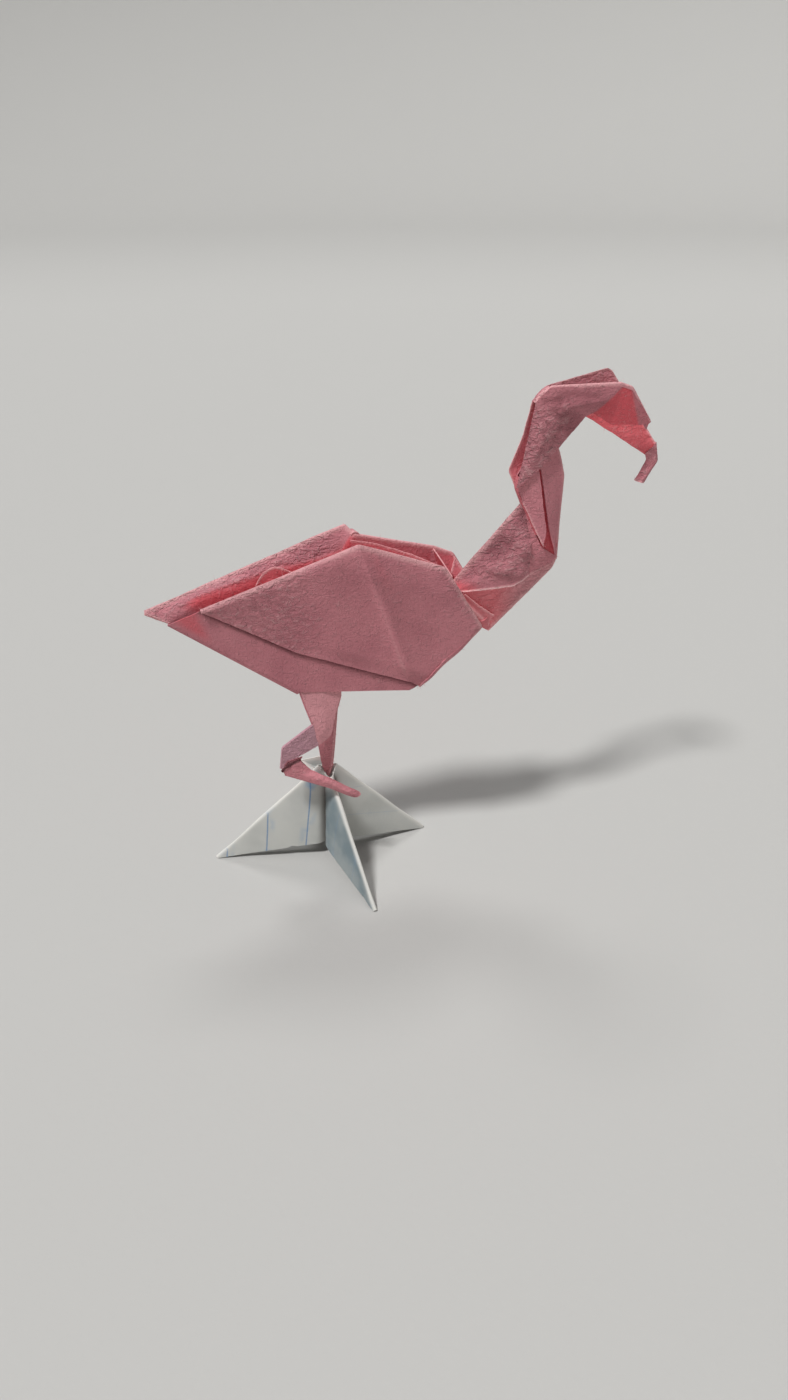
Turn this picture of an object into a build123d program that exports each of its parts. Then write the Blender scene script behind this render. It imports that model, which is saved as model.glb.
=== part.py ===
from build123d import *

import os
from math import cos, pi, radians, sin

import numpy as np

os.makedirs("parts", exist_ok=True)

# A flamingo folded from one sheet of paper, its straight leg tucked into a stand folded from another.
# Millimetres. X runs from the tail to the beak, Y from the bird's right to its left, Z up from the table.
# Side view places are (x, z), with x measured forward from the socket that the straight leg stands in.

# Paper
BIRD_PAPER = 0.2
STAND_PAPER = 0.12
FOLD_STEPS = 3
LAYER_STEP = 0.35

# Body outline in side view
TAIL_FOLD = (-22.9, 47.7)
WING_BACK = (-17.9, 49.6)
WING_PEAK = (6.3, 58.5)
WING_SHOULDER = (19.7, 53.7)
BREAST_TIP = (26.2, 42.7)
BREAST_MIDDLE = (20.4, 37.2)
BREAST_LOW = (16.1, 32.7)
BELLY_FRONT = (14.6, 31.8)
BELLY_BACK = (-3.5, 33.4)

# The left wall stands further back at the tail and further forward at the shoulder
TAIL_TIP = (-26.2, 49.2)
TAIL_CREASE = (-17.8, 50.7)
PEAK_CREASE = (4.3, 54.5)
LEFT_WING_BACK = (-18.0, 51.9)
LEFT_PEAK = (5.6, 59.3)
LEFT_SHOULDER = (19.6, 54.6)
LEFT_FRONT = (22.9, 53.1)
LEFT_BREAST = (24.9, 49.7)

# Half widths of the body
TAIL_HALF_WIDTH = 0.3
BELLY_HALF_WIDTH = 0.85
WING_HALF_WIDTH = 2.5
TAIL_TIP_SIDE = 1.3
LEFT_PEAK_SIDE = 3.9

# Wing flaps, folded down outside the walls
FLAP_GAP = 0.65
FLAP_RAW_MIDDLE = (-3.8, 41.2)
FLAP_CREASE_FOOT = (14.5, 33.6)
FLAP_CREASE_LIFT = 0.35

# Panels that cross the trough between the walls
TROUGH_END_TOP = (21.0, 52.2)
TROUGH_END_DROP = 11.0
COLLAR_TOP = (21.1, 52.6)
COLLAR_MIDDLE = (22.9, 50.2)
PLEAT_BACK = (4.6, 57.2)
PLEAT_MIDDLE = (15.2, 55.4)
PLEAT_FRONT = (19.0, 53.6)
PLEAT_SIDE = -0.6
PLEAT_DEPTH = 8.0

# Lower neck: an upper layer whose raw lip hangs over a second layer
NECK_APEX = (21.5, 48.7)
NECK_CREST = (33.3, 61.9)
ELBOW_SIDE = (36.1, 54.9)
ELBOW_FRONT = (39.3, 52.5)
LIP = [(23.4, 48.6), (29.4, 48.9), (31.9, 49.0), (34.0, 49.9), (37.9, 51.3)]
LIP_SIDES = [1.9, 2.1, 2.0, 1.8, 0.7]
THROAT = [(28.3, 40.5), (30.6, 42.8), (38.6, 50.7)]
NECK_ROOT_TOP = (19.8, 47.4)
NECK_ROOT_LOW = (21.0, 42.8)
NECK_ROOT_SIDE = 1.2
ELBOW_HALF_WIDTH = 1.5
FOLD_RADIUS = 0.35

# Middle neck: two panels on each side with a slit between them
NAPE_LOW = (33.0, 62.3)
NAPE_HIGH = (31.8, 64.5)
SLIT_BOTTOM = (37.2, 55.0)
SLIT_MIDDLE = (36.5, 60.3)
SLIT_TOP = (34.7, 67.6)
SLIT_WIDTH = 0.5
SLIT_BOTTOM_WIDTH = 1.0
NAPE_HALF_WIDTH = 0.8
SLIT_HALF_WIDTH = 1.7
NECK_FRONT = [(39.2, 60.3), (39.3, 66.8)]
NECK_CHIN = (37.9, 70.6)

# Upper neck and head, open along the top
COLLAR_BACK = (31.5, 64.8)
COLLAR_SLIT = (34.6, 67.9)
CHIN = (42.2, 75.1)
CROWN_BACK = (33.9, 77.7)
CROWN_TOP = (36.0, 79.8)
LEFT_NAPE_FOOT = (32.3, 63.8)
LEFT_NAPE = (31.2, 66.7)
RIGHT_BROW = [(46.6, 80.0), (48.5, 79.3), (52.6, 73.8)]
RIGHT_CHEEK = [(52.2, 73.4), (46.1, 73.8), (43.0, 75.7)]
LEFT_BROW = [(46.3, 81.4), (47.0, 81.0), (48.3, 79.2)]
BEAK_BRIDGE = (55.1, 69.4)
BEAK_CORNER = (53.9, 67.6)
BEAK_TIP = [(55.3, 66.8), (53.5, 63.5), (52.1, 63.6), (52.6, 67.9)]
CROWN_HALF_WIDTH = 0.7
COLLAR_HALF_WIDTH = 2.0
BROW_HALF_WIDTH = 2.2
CHEEK_HALF_WIDTH = 1.4

# Legs
LEG_REACH = 4.1
LEG_TOP = BELLY_BACK[1] + LEG_REACH
LEG_SPREAD = 0.45
BENT_THIGH = [(-3.5, 33.5), (3.3, 32.0), (2.3, 29.1), (1.2, 24.7), (-0.9, 23.2), (-1.7, 27.2)]
BENT_SHIN = [(-7.1, 24.3), (-7.6, 20.4), (-4.9, 22.1)]
BENT_FOOT = [(-7.0, 19.0), (0.2, 16.2), (4.4, 14.0), (5.4, 14.3), (0.2, 18.0), (-2.6, 19.2)]
KNEE_SIDE = 2.7
ANKLE_SIDE = 4.2
TOE_SIDE = 4.9
BEND_SIDE = 1.45
STRAIGHT_FRONT = [(3.3, 31.0), (2.6, 28.6), (1.75, 21.5), (1.3, 17.7)]
STRAIGHT_BACK = [(-3.2, 33.0), (-0.8, 22.1), (-0.1, 17.7)]
STRAIGHT_FOOT_WIDTH = 0.35
FOOT_ABOVE_SOCKET = 2.5

# Stand
STAND_X = 0.7
RIGHT_ANGLE = 5
RIGHT_REACH = 17.5
BACK_ANGLE = 98
BACK_REACH = 18.7
LEFT_ANGLE = 174.5
LEFT_REACH = 20.1
FRONT_ANGLE = -78
FRONT_REACH = 18.8
FINS = {"right": (RIGHT_ANGLE, RIGHT_REACH), "back": (BACK_ANGLE, BACK_REACH),
        "left": (LEFT_ANGLE, LEFT_REACH), "front": (FRONT_ANGLE, FRONT_REACH)}
RIDGE_WIDTH = 0.55
RIM_HEIGHT = 17.6
RIM_RADIUS = 1.35
VALLEY_RIM_RADIUS = 1.15
RIM_STEP = 0.2
FRONT_DIP = 1.5
SOCKET_DEPTH = 4.5
VALLEY_FOOT_RADIUS = 2.4
VALLEY_LIFT = 2.6
FOOT_SINK = 0.12

# The stand's lip: the back of the socket's rim is pulled out to the left and up, like the mouth of a jug.
# Each place is its angle round the socket, its reach from the socket's axis and its height above the rim.
LIP_ROOT = (100, 0.95, -1.4)
LIP_FRONT = (164, 2.2, -0.9)
LIP_MIDDLE = (155, 3.8, -0.5)
LIP_TIP = (149, 5.0, 0.2)
LIP_TOP = (128, 1.9, 1.2)
LIP_END = (80, 1.3, 0.5)

RIGHT = -1
LEFT = 1


def facing(a, b, c):
    """The unit vector that a triangle faces."""
    across = np.cross(b - a, c - a)
    return across / np.linalg.norm(across)


def sides_of(corners):
    """The three directed sides of a triangle."""
    return [(corners[0], corners[1]), (corners[1], corners[2]), (corners[2], corners[0])]


class Sheet:
    """A folded sheet: named points on its middle surface and flat panels between them."""

    def __init__(self, paper):
        self.paper = paper
        self.points = {}
        self.panels = []

    def point(self, name, place, side):
        """A point given by its place in side view and its distance to the bird's left."""
        self.points[name] = np.array([place[0], side, place[1]], float)
        return name

    def row(self, name, places, sides):
        """A row of points along a line of the sheet."""
        return [self.point(f"{name} {i}", place, side) for i, (place, side) in enumerate(zip(places, sides))]

    def panel(self, *names):
        """A panel, split into triangles that fan out from its first point."""
        for second, third in zip(names[1:], names[2:]):
            self.panels.append((names[0], second, third))

    def strip(self, first, second):
        """A narrow strip between two rows of points."""
        for i in range(len(first) - 1):
            self.panel(first[i], first[i + 1], second[i + 1], second[i])

    def round_fold(self, first, second, outward):
        """A fold between two rows, round in section: half a circle that bulges outward."""
        rows = [first]
        for step in range(1, FOLD_STEPS):
            turn = pi * step / FOLD_STEPS
            row = []
            for a, b, direction in zip(first, second, outward):
                middle = (self.points[a] + self.points[b]) / 2
                arm = self.points[a] - middle
                name = f"{a} to {b} {step}"
                self.points[name] = middle + arm * cos(turn) + direction * np.linalg.norm(arm) * sin(turn)
                row.append(name)
            rows.append(row)
        rows.append(second)
        for upper, lower in zip(rows, rows[1:]):
            self.strip(upper, lower)
        return rows

    def outward(self, names, turn):
        """The direction away from the panel at each point of a row, square to the row in side view."""
        places = [self.points[name] for name in names]
        squares = []
        for a, b in zip(places, places[1:]):
            along = np.array([b[0] - a[0], 0, b[2] - a[2]])
            square = np.array([-along[2], 0, along[0]]) * turn
            squares.append(square / np.linalg.norm(square))
        sums = [squares[0]] + [a + b for a, b in zip(squares, squares[1:])] + [squares[-1]]
        return [total / np.linalg.norm(total) for total in sums]

    def wound(self):
        """The triangles, each wound to face the same side of the sheet as its neighbours."""
        beside = {}
        for index, corners in enumerate(self.panels):
            for a, b in sides_of(corners):
                beside.setdefault(frozenset((a, b)), []).append(index)
        done = {0: self.panels[0]}
        waiting = [0]
        while waiting:
            for a, b in sides_of(done[waiting.pop()]):
                for index in beside[frozenset((a, b))]:
                    if index in done:
                        continue
                    corners = self.panels[index]
                    turned = (a, b) in sides_of(corners)
                    done[index] = corners[::-1] if turned else corners
                    waiting.append(index)
        return list(done.values())

    def solid(self):
        """The sheet at its thickness: each face lies half the paper from the middle surface."""
        triangles = self.wound()
        facings = {}
        for corners in triangles:
            normal = facing(*[self.points[name] for name in corners])
            for name in corners:
                facings.setdefault(name, []).append(normal)
        front = {}
        back = {}
        for name, normals in facings.items():
            half = np.full(len(normals), self.paper / 2)
            shift = np.linalg.lstsq(np.array(normals), half, rcond=0.1)[0]
            front[name] = self.points[name] + shift
            back[name] = self.points[name] - shift
        faces = []
        used = {side for corners in triangles for side in sides_of(corners)}
        for a, b, c in triangles:
            faces.append(triangle(front[a], front[b], front[c]))
            faces.append(triangle(back[a], back[c], back[b]))
        for a, b in used:
            if (b, a) not in used:
                faces.append(triangle(front[b], front[a], back[a]))
                faces.append(triangle(front[b], back[a], back[b]))
        return Solid(Shell(faces))


def triangle(a, b, c):
    """One flat face."""
    return Face(Wire.make_polygon([tuple(a), tuple(b), tuple(c)]))


def wall(side, place):
    """How far out a body wall lies: each wall is flat, through three places whose widths are set."""
    places = np.array([TAIL_FOLD, BELLY_BACK, WING_PEAK])
    widths = np.array([TAIL_HALF_WIDTH, BELLY_HALF_WIDTH, WING_HALF_WIDTH])
    plane = np.linalg.solve(np.column_stack([np.ones(3), places]), widths)
    return side * (plane[0] + plane[1] * place[0] + plane[2] * place[1])


def wing_flap(sheet, side, chain):
    """The flap folded down outside a wall, joined along a chain of folds and raw along its lower edge."""
    outer = []
    for name in chain:
        x, y, z = sheet.points[name]
        outer.append(sheet.point(f"flap {name}", (x, z), y + side * FLAP_GAP))
    sheet.round_fold(chain, outer, sheet.outward(chain, 1))
    back, peak, low, middle = outer[0], outer[1], outer[-1], outer[-2]
    lift = side * (FLAP_GAP + FLAP_CREASE_LIFT)
    raw = sheet.point(f"raw edge {side}", FLAP_RAW_MIDDLE, wall(side, FLAP_RAW_MIDDLE) + side * FLAP_GAP)
    foot = sheet.point(f"crease foot {side}", FLAP_CREASE_FOOT, wall(side, FLAP_CREASE_FOOT) + lift)
    sheet.panel(peak, back, raw, foot)
    sheet.panel(peak, foot, low, middle)
    sheet.panel(peak, *reversed(outer[2:-1]))


def body():
    """Two walls joined by the keel fold, open along the top, each with its wing flap outside."""
    sheet = Sheet(BIRD_PAPER)
    outlines = {
        RIGHT: {"tail": TAIL_FOLD, "wing back": WING_BACK, "peak": WING_PEAK, "shoulder": WING_SHOULDER,
                "breast": BREAST_TIP, "breast middle": BREAST_MIDDLE, "breast low": BREAST_LOW,
                "belly front": BELLY_FRONT, "belly back": BELLY_BACK},
        LEFT: {"tail": TAIL_FOLD, "tail crease": TAIL_CREASE, "peak crease": PEAK_CREASE,
               "peak": WING_PEAK, "shoulder": LEFT_SHOULDER, "front": LEFT_FRONT,
               "upper breast": LEFT_BREAST, "breast": BREAST_TIP, "breast middle": BREAST_MIDDLE,
               "breast low": BREAST_LOW, "belly front": BELLY_FRONT, "belly back": BELLY_BACK},
    }
    rows = {}
    for side, outline in outlines.items():
        rows[side] = [sheet.point(f"{key} {side}", place, wall(side, place)) for key, place in outline.items()]
        sheet.panel(rows[side][-1], *rows[side][:-1])
    keels = {side: [row[0], row[-1]] for side, row in rows.items()}
    sheet.round_fold(keels[RIGHT], keels[LEFT], sheet.outward(keels[RIGHT], -1))
    wing_flap(sheet, RIGHT, rows[RIGHT][1:7])

    # The left wall's top leans out from a crease that runs from the tail to the peak
    tail, tail_crease, peak_crease, peak = rows[LEFT][:4]
    tip = sheet.point("tail tip", TAIL_TIP, TAIL_TIP_SIDE)
    high = sheet.point("left peak", LEFT_PEAK, LEFT_PEAK_SIDE)
    share = (LEFT_WING_BACK[0] - TAIL_TIP[0]) / (LEFT_PEAK[0] - TAIL_TIP[0])
    back = sheet.point("left wing back", LEFT_WING_BACK, TAIL_TIP_SIDE + share * (LEFT_PEAK_SIDE - TAIL_TIP_SIDE))
    sheet.panel(tail_crease, tail, tip, back, high, peak_crease)
    sheet.panel(peak_crease, high, peak)
    wing_flap(sheet, LEFT, [back, high] + rows[LEFT][3:10])
    return sheet.solid()


def trough_panels():
    """The panel that closes the trough in front, the collar over the neck's root and the pleat between."""
    end = Sheet(BIRD_PAPER)
    low = (LEFT_FRONT[0], LEFT_FRONT[1] - TROUGH_END_DROP)
    corners = [("left top", LEFT_SHOULDER, LEFT), ("right top", TROUGH_END_TOP, RIGHT),
               ("right low", low, RIGHT), ("left low", low, LEFT)]
    end.panel(*[end.point(name, place, wall(side, place)) for name, place, side in corners])

    collar = Sheet(BIRD_PAPER)
    middle = collar.point("middle", COLLAR_MIDDLE, 0)
    corners = [("low left", LEFT_BREAST, LEFT), ("high left", LEFT_FRONT, LEFT), ("right", COLLAR_TOP, RIGHT)]
    collar.panel(middle, *[collar.point(name, place, wall(side, place)) for name, place, side in corners])

    pleat = Sheet(BIRD_PAPER)
    places = [PLEAT_BACK, PLEAT_MIDDLE, PLEAT_FRONT]
    sides = [wall(LEFT, PLEAT_BACK), PLEAT_SIDE, wall(RIGHT, PLEAT_FRONT)]
    feet = [(x, z - PLEAT_DEPTH) for x, z in places]
    foot_sides = [wall(LEFT, feet[0]), PLEAT_SIDE, wall(RIGHT, feet[2])]
    pleat.strip(pleat.row("top", places, sides), pleat.row("foot", feet, foot_sides))
    return end.solid() + collar.solid() + pleat.solid()


def neck_side(sheet, side):
    """One side of the lower and middle neck; returns its points by name."""
    at = {}

    def put(name, place, half_width):
        at[name] = sheet.point(f"{name} {side}", place, side * half_width)

    put("apex", NECK_APEX, FOLD_RADIUS)
    put("crest", NECK_CREST, FOLD_RADIUS)
    put("elbow side", ELBOW_SIDE, ELBOW_HALF_WIDTH)
    put("elbow front", ELBOW_FRONT, FOLD_RADIUS)
    lip = sheet.row(f"lip {side}", LIP, [side * width for width in LIP_SIDES])
    tucked = sheet.row(f"tucked {side}", LIP, [side * (width - LAYER_STEP) for width in LIP_SIDES])
    sheet.panel(at["elbow side"], at["crest"], at["apex"], *lip, at["elbow front"])
    sheet.strip(lip, tucked)
    sheet.panel(lip[-1], at["elbow front"], tucked[-1])
    at["throat"] = sheet.row(f"throat {side}", THROAT, [side * FOLD_RADIUS] * len(THROAT))
    put("root top", NECK_ROOT_TOP, NECK_ROOT_SIDE)
    put("root low", NECK_ROOT_LOW, NECK_ROOT_SIDE)
    tip, hollow, bend = at["throat"]
    under = [bend, at["elbow front"], *reversed(tucked), at["root top"], at["root low"], tip]
    sheet.panel(hollow, *under)

    put("nape low", NAPE_LOW, NAPE_HALF_WIDTH)
    put("nape high", NAPE_HIGH, NAPE_HALF_WIDTH)
    put("elbow lap", ELBOW_SIDE, ELBOW_HALF_WIDTH + LAYER_STEP)
    put("slit bottom", SLIT_BOTTOM, SLIT_HALF_WIDTH)
    put("slit middle", SLIT_MIDDLE, SLIT_HALF_WIDTH)
    put("slit top", SLIT_TOP, SLIT_HALF_WIDTH)
    put("edge bottom", (SLIT_BOTTOM[0] + SLIT_BOTTOM_WIDTH, SLIT_BOTTOM[1]), SLIT_HALF_WIDTH - LAYER_STEP)
    put("edge middle", (SLIT_MIDDLE[0] + SLIT_WIDTH, SLIT_MIDDLE[1]), SLIT_HALF_WIDTH - LAYER_STEP)
    put("edge top", (SLIT_TOP[0] + SLIT_WIDTH, SLIT_TOP[1]), SLIT_HALF_WIDTH - LAYER_STEP)
    at["front"] = sheet.row(f"front {side}", NECK_FRONT, [side * FOLD_RADIUS] * len(NECK_FRONT))
    put("chin low", NECK_CHIN, FOLD_RADIUS)
    sheet.strip([at["crest"], at["elbow side"]], [at["nape low"], at["elbow lap"]])
    sheet.panel(at["slit middle"], at["slit bottom"], at["elbow lap"], at["nape low"], at["nape high"],
                at["slit top"])
    sheet.panel(at["elbow side"], at["edge bottom"], at["elbow front"])
    sheet.panel(at["edge middle"], at["edge top"], at["chin low"], *reversed(at["front"]), at["elbow front"],
                at["edge bottom"])
    return at


def head_side(sheet, side, at):
    """One side of the upper neck, which laps over the middle neck, up to the crown."""
    foot = COLLAR_BACK if side == RIGHT else LEFT_NAPE_FOOT
    at["collar"] = sheet.point(f"collar {side}", foot, side * (NAPE_HALF_WIDTH + LAYER_STEP))
    at["collar slit"] = sheet.point(f"collar slit {side}", COLLAR_SLIT, side * COLLAR_HALF_WIDTH)
    at["chin"] = sheet.point(f"chin {side}", CHIN, side * FOLD_RADIUS)
    at["crown back"] = sheet.point(f"crown back {side}", CROWN_BACK, side * CROWN_HALF_WIDTH)
    at["crown top"] = sheet.point(f"crown top {side}", CROWN_TOP, side * CROWN_HALF_WIDTH)
    sheet.strip([at["nape high"], at["slit top"]], [at["collar"], at["collar slit"]])
    sheet.panel(at["collar slit"], at["slit top"], at["edge top"], at["chin low"])
    if side == LEFT:
        nape = sheet.point("left nape", LEFT_NAPE, side * COLLAR_HALF_WIDTH)
        sheet.panel(at["crown back"], nape, at["collar"])
    sheet.panel(at["crown back"], at["collar"], at["collar slit"], at["chin low"], at["chin"])


def neck_and_head():
    """The neck, a tube of two layers, and the head, a trough whose left side runs on into the beak."""
    sheet = Sheet(BIRD_PAPER)
    ends = {}
    for side in (RIGHT, LEFT):
        ends[side] = neck_side(sheet, side)
        head_side(sheet, side, ends[side])
    right, left = ends[RIGHT], ends[LEFT]

    crest = [[at["apex"], at["crest"]] for at in (right, left)]
    sheet.round_fold(*crest, sheet.outward(crest[0], 1))
    fronts = [at["throat"] + [at["elbow front"]] + at["front"] + [at["chin low"], at["chin"]]
              for at in (right, left)]
    sheet.round_fold(*fronts, sheet.outward(fronts[0], -1))
    backs = [[at["crown back"], at["crown top"]] for at in (right, left)]
    sheet.round_fold(*backs, sheet.outward(backs[0], 1))

    brow = sheet.row("right brow", RIGHT_BROW, [-BROW_HALF_WIDTH, -BROW_HALF_WIDTH, -CHEEK_HALF_WIDTH])
    cheek = sheet.row("right cheek", RIGHT_CHEEK, [-CHEEK_HALF_WIDTH] * len(RIGHT_CHEEK))
    sheet.panel(brow[0], right["crown top"], right["crown back"], right["chin"], *reversed(cheek), brow[2],
                brow[1])

    brow = sheet.row("left brow", LEFT_BROW, [BROW_HALF_WIDTH] * len(LEFT_BROW))
    bridge = sheet.point("beak bridge", BEAK_BRIDGE, FOLD_RADIUS)
    corner = sheet.point("beak corner", BEAK_CORNER, 0)
    sheet.panel(brow[0], left["crown top"], left["crown back"], left["chin"], corner, bridge, brow[2], brow[1])
    tip = sheet.row("beak tip", BEAK_TIP, [FOLD_RADIUS, -FOLD_RADIUS, FOLD_RADIUS, FOLD_RADIUS])
    sheet.panel(corner, bridge, tip[0], tip[1], tip[2], tip[3])
    return sheet.solid()


def bent_leg():
    """The right leg: thigh, shin folded back and foot folded forward, each flattened to two layers."""
    sheet = Sheet(BIRD_PAPER)
    layers = []
    for layer in (-1, 1):
        out = layer * LAYER_STEP / 2

        def row(name, places, sides):
            return sheet.row(f"{name} {layer}", places, [out - side for side in sides])

        back, front, knee_front, bend_front, bend, bend_back = row(
            "thigh", BENT_THIGH, [LEG_SPREAD, LEG_SPREAD, 2 * LEG_SPREAD, BEND_SIDE, BEND_SIDE, BEND_SIDE])
        top = row("top", [(BENT_THIGH[0][0], LEG_TOP), (BENT_THIGH[1][0], LEG_TOP)], [LEG_SPREAD] * 2)
        sheet.panel(back, *top, front)
        sheet.panel(bend_back, back, front, knee_front, bend_front, bend)
        shin = row("shin", BENT_SHIN, [KNEE_SIDE] * 3)
        sheet.panel(bend_back, *shin, bend)
        foot = row("foot", BENT_FOOT, [KNEE_SIDE, ANKLE_SIDE, TOE_SIDE, TOE_SIDE, ANKLE_SIDE, KNEE_SIDE])
        heel = shin[1]
        sheet.panel(foot[5], shin[2], heel, foot[0], foot[1], foot[4])
        sheet.panel(foot[4], foot[1], foot[2], foot[3])
        layers.append({"top": top, "back": [top[0], back, bend_back, *shin[:2], *foot[:3]]})
    right, left = layers
    sheet.round_fold(right["back"], left["back"], sheet.outward(right["back"], -1))
    root = sheet.row("root", [(x, LEG_TOP + LAYER_STEP) for x in (BENT_THIGH[0][0], BENT_THIGH[1][0])],
                     [wall(RIGHT, (x, LEG_TOP)) for x in (BENT_THIGH[0][0], BENT_THIGH[1][0])])
    sheet.strip(right["top"], root)
    return sheet.solid()


def straight_leg():
    """The left leg: two layers that taper down into the stand's socket."""
    sheet = Sheet(BIRD_PAPER)
    foot = RIM_HEIGHT - SOCKET_DEPTH + FOOT_ABOVE_SOCKET
    front = [(STRAIGHT_FRONT[0][0], LEG_TOP), *STRAIGHT_FRONT, (STAND_X, foot)]
    back = [(STRAIGHT_BACK[0][0], LEG_TOP), *STRAIGHT_BACK, (STAND_X - STRAIGHT_FOOT_WIDTH, foot)]
    rows = {}
    for layer in (-1, 1):
        out = layer * LAYER_STEP / 2

        def row(name, places):
            sides = [LEG_SPREAD * (z - foot) / (LEG_TOP - foot) + out for x, z in places]
            return sheet.row(f"{name} {layer}", places, sides)

        fronts = row("front", front)
        backs = row("back", back)
        sheet.panel(backs[0], backs[1], fronts[1], fronts[0])
        sheet.panel(backs[1], backs[2], fronts[3], fronts[2], fronts[1])
        sheet.panel(backs[2], backs[3], fronts[4], fronts[3])
        sheet.panel(backs[3], backs[4], fronts[5], fronts[4])
        rows[layer] = (fronts, backs)
    sheet.round_fold(rows[-1][0], rows[1][0], sheet.outward(rows[-1][0], 1))
    tops = [rows[1][1][0], rows[1][0][0]]
    root = sheet.row("root", [(back[0][0], LEG_TOP + LAYER_STEP), (front[0][0], LEG_TOP + LAYER_STEP)],
                     [wall(LEFT, back[0]), wall(LEFT, front[0])])
    sheet.strip(tops, root)
    return sheet.solid()


def polar(angle, radius, height):
    """A point of the stand, by its angle round the socket."""
    return np.array([STAND_X + radius * cos(angle), radius * sin(angle), height])


def rim_height(angle):
    """The height of the socket's rim at an angle: it dips over the front fin."""
    return RIM_HEIGHT - FRONT_DIP * max(0, cos(angle - radians(FRONT_ANGLE))) ** 2


def lip():
    """The lip at the back of the socket: a cup of panels that fan out from one place inside the rim."""
    sheet = Sheet(STAND_PAPER)
    names = []
    for i, (angle, reach, rise) in enumerate([LIP_ROOT, LIP_FRONT, LIP_MIDDLE, LIP_TIP, LIP_TOP, LIP_END]):
        names.append(f"lip {i}")
        sheet.points[names[-1]] = polar(radians(angle), reach, RIM_HEIGHT + rise)
    sheet.panel(*names)
    return sheet.solid()


def stand():
    """Four fins round a socket: each fin has a round ridge, and each valley between fins ends above the table."""
    sheet = Sheet(STAND_PAPER)
    angles = [radians(angle) for angle, reach in FINS.values()]
    rim = []
    rows = []
    for name, angle, (_, reach) in zip(FINS, angles, FINS.values()):
        across = np.array([-sin(angle), cos(angle), 0]) * RIDGE_WIDTH / 2
        top = polar(angle, RIM_RADIUS, rim_height(angle))
        tip = polar(angle, reach, -FOOT_SINK)
        for label, shift in (("before", -across), ("after", across)):
            sheet.points[f"{name} top {label}"] = top + shift
            sheet.points[f"{name} tip {label}"] = tip + shift
        run = (tip - top) / np.linalg.norm(tip - top)
        square = np.cross(run, across / np.linalg.norm(across))
        square = square if square[2] > 0 else -square
        before = [f"{name} top before", f"{name} tip before"]
        after = [f"{name} top after", f"{name} tip after"]
        ridge = sheet.round_fold(before, after, [square, square])
        rim.append([row[0] for row in ridge])
        rows.append((before, after))
    valleys = []
    for i, name in enumerate(FINS):
        following = (i + 1) % len(FINS)
        gap = (angles[following] - angles[i]) % (2 * pi)
        angle = angles[i] + gap / 2
        high = f"{name} valley top"
        low = f"{name} valley foot"
        sheet.points[high] = polar(angle, VALLEY_RIM_RADIUS, rim_height(angle) - RIM_STEP)
        sheet.points[low] = polar(angle, VALLEY_FOOT_RADIUS, VALLEY_LIFT)
        sheet.panel(high, low, rows[i][1][1], rows[i][1][0])
        sheet.panel(high, low, rows[following][0][1], rows[following][0][0])
        valleys.append(high)
    loop = [name for ridge, valley in zip(rim, valleys) for name in [*ridge, valley]]
    inner = []
    for name in loop:
        x, y, z = sheet.points[name]
        reach = np.hypot(x - STAND_X, y)
        share = 1 - RIM_STEP / reach
        sheet.points[f"inner {name}"] = np.array([STAND_X + (x - STAND_X) * share, y * share, z])
        inner.append(f"inner {name}")
    sheet.points["socket"] = np.array([STAND_X, 0, RIM_HEIGHT - SOCKET_DEPTH])
    sheet.strip(loop + loop[:1], inner + inner[:1])
    for a, b in zip(inner, inner[1:] + inner[:1]):
        sheet.panel("socket", a, b)
    below_table = Pos(0, 0, -RIM_HEIGHT / 2) * Box(4 * RIM_HEIGHT, 4 * RIM_HEIGHT, RIM_HEIGHT)
    return sheet.solid() - below_table + lip()


pieces = {
    "flamingo": body() + trough_panels() + neck_and_head() + bent_leg() + straight_leg(),
    "stand": stand(),
}

# The finished model stands on z = 0 with the middle of its footprint at the origin
whole = Compound(children=[Compound(piece.wrapped) for piece in pieces.values()]).bounding_box()
centre = Pos(-(whole.min.X + whole.max.X) / 2, -(whole.min.Y + whole.max.Y) / 2, 0)
for name, piece in pieces.items():
    export_step(centre * piece, f"parts/{name}.step")
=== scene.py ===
from math import hypot, radians

import bpy
import numpy as np
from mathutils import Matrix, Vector


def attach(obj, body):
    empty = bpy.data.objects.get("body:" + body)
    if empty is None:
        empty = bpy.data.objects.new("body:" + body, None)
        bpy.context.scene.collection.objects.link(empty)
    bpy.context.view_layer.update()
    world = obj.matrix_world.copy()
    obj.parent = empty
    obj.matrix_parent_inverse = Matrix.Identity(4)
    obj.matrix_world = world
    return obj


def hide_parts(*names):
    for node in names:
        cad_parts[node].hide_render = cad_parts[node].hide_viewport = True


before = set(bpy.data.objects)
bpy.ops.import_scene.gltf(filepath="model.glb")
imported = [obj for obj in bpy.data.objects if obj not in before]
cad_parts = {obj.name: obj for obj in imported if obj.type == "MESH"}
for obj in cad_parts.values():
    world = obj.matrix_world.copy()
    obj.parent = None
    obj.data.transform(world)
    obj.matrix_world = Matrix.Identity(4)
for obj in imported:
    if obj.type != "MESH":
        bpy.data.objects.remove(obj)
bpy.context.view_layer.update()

# Sizes are in millimetres, in the side view of the part's source: x forward from the stand's socket, z up
# from the table, y to the bird's left. MM and SOCKET bring a place into the part's own frame.
MM = 0.001
SOCKET = np.array([-14.555, -0.065, 0.0])
PAPER = 0.2
STAND_PAPER = 0.13
RIGHT = -1
LEFT = 1

# How fine the meshes are: the usual width of a cell and that on the wings, and how close points are welded
CELL = 0.45
WING_CELL = 0.5
WELD = 0.004
SHARP_ANGLE = radians(48)
TINY = 1e-9

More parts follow.
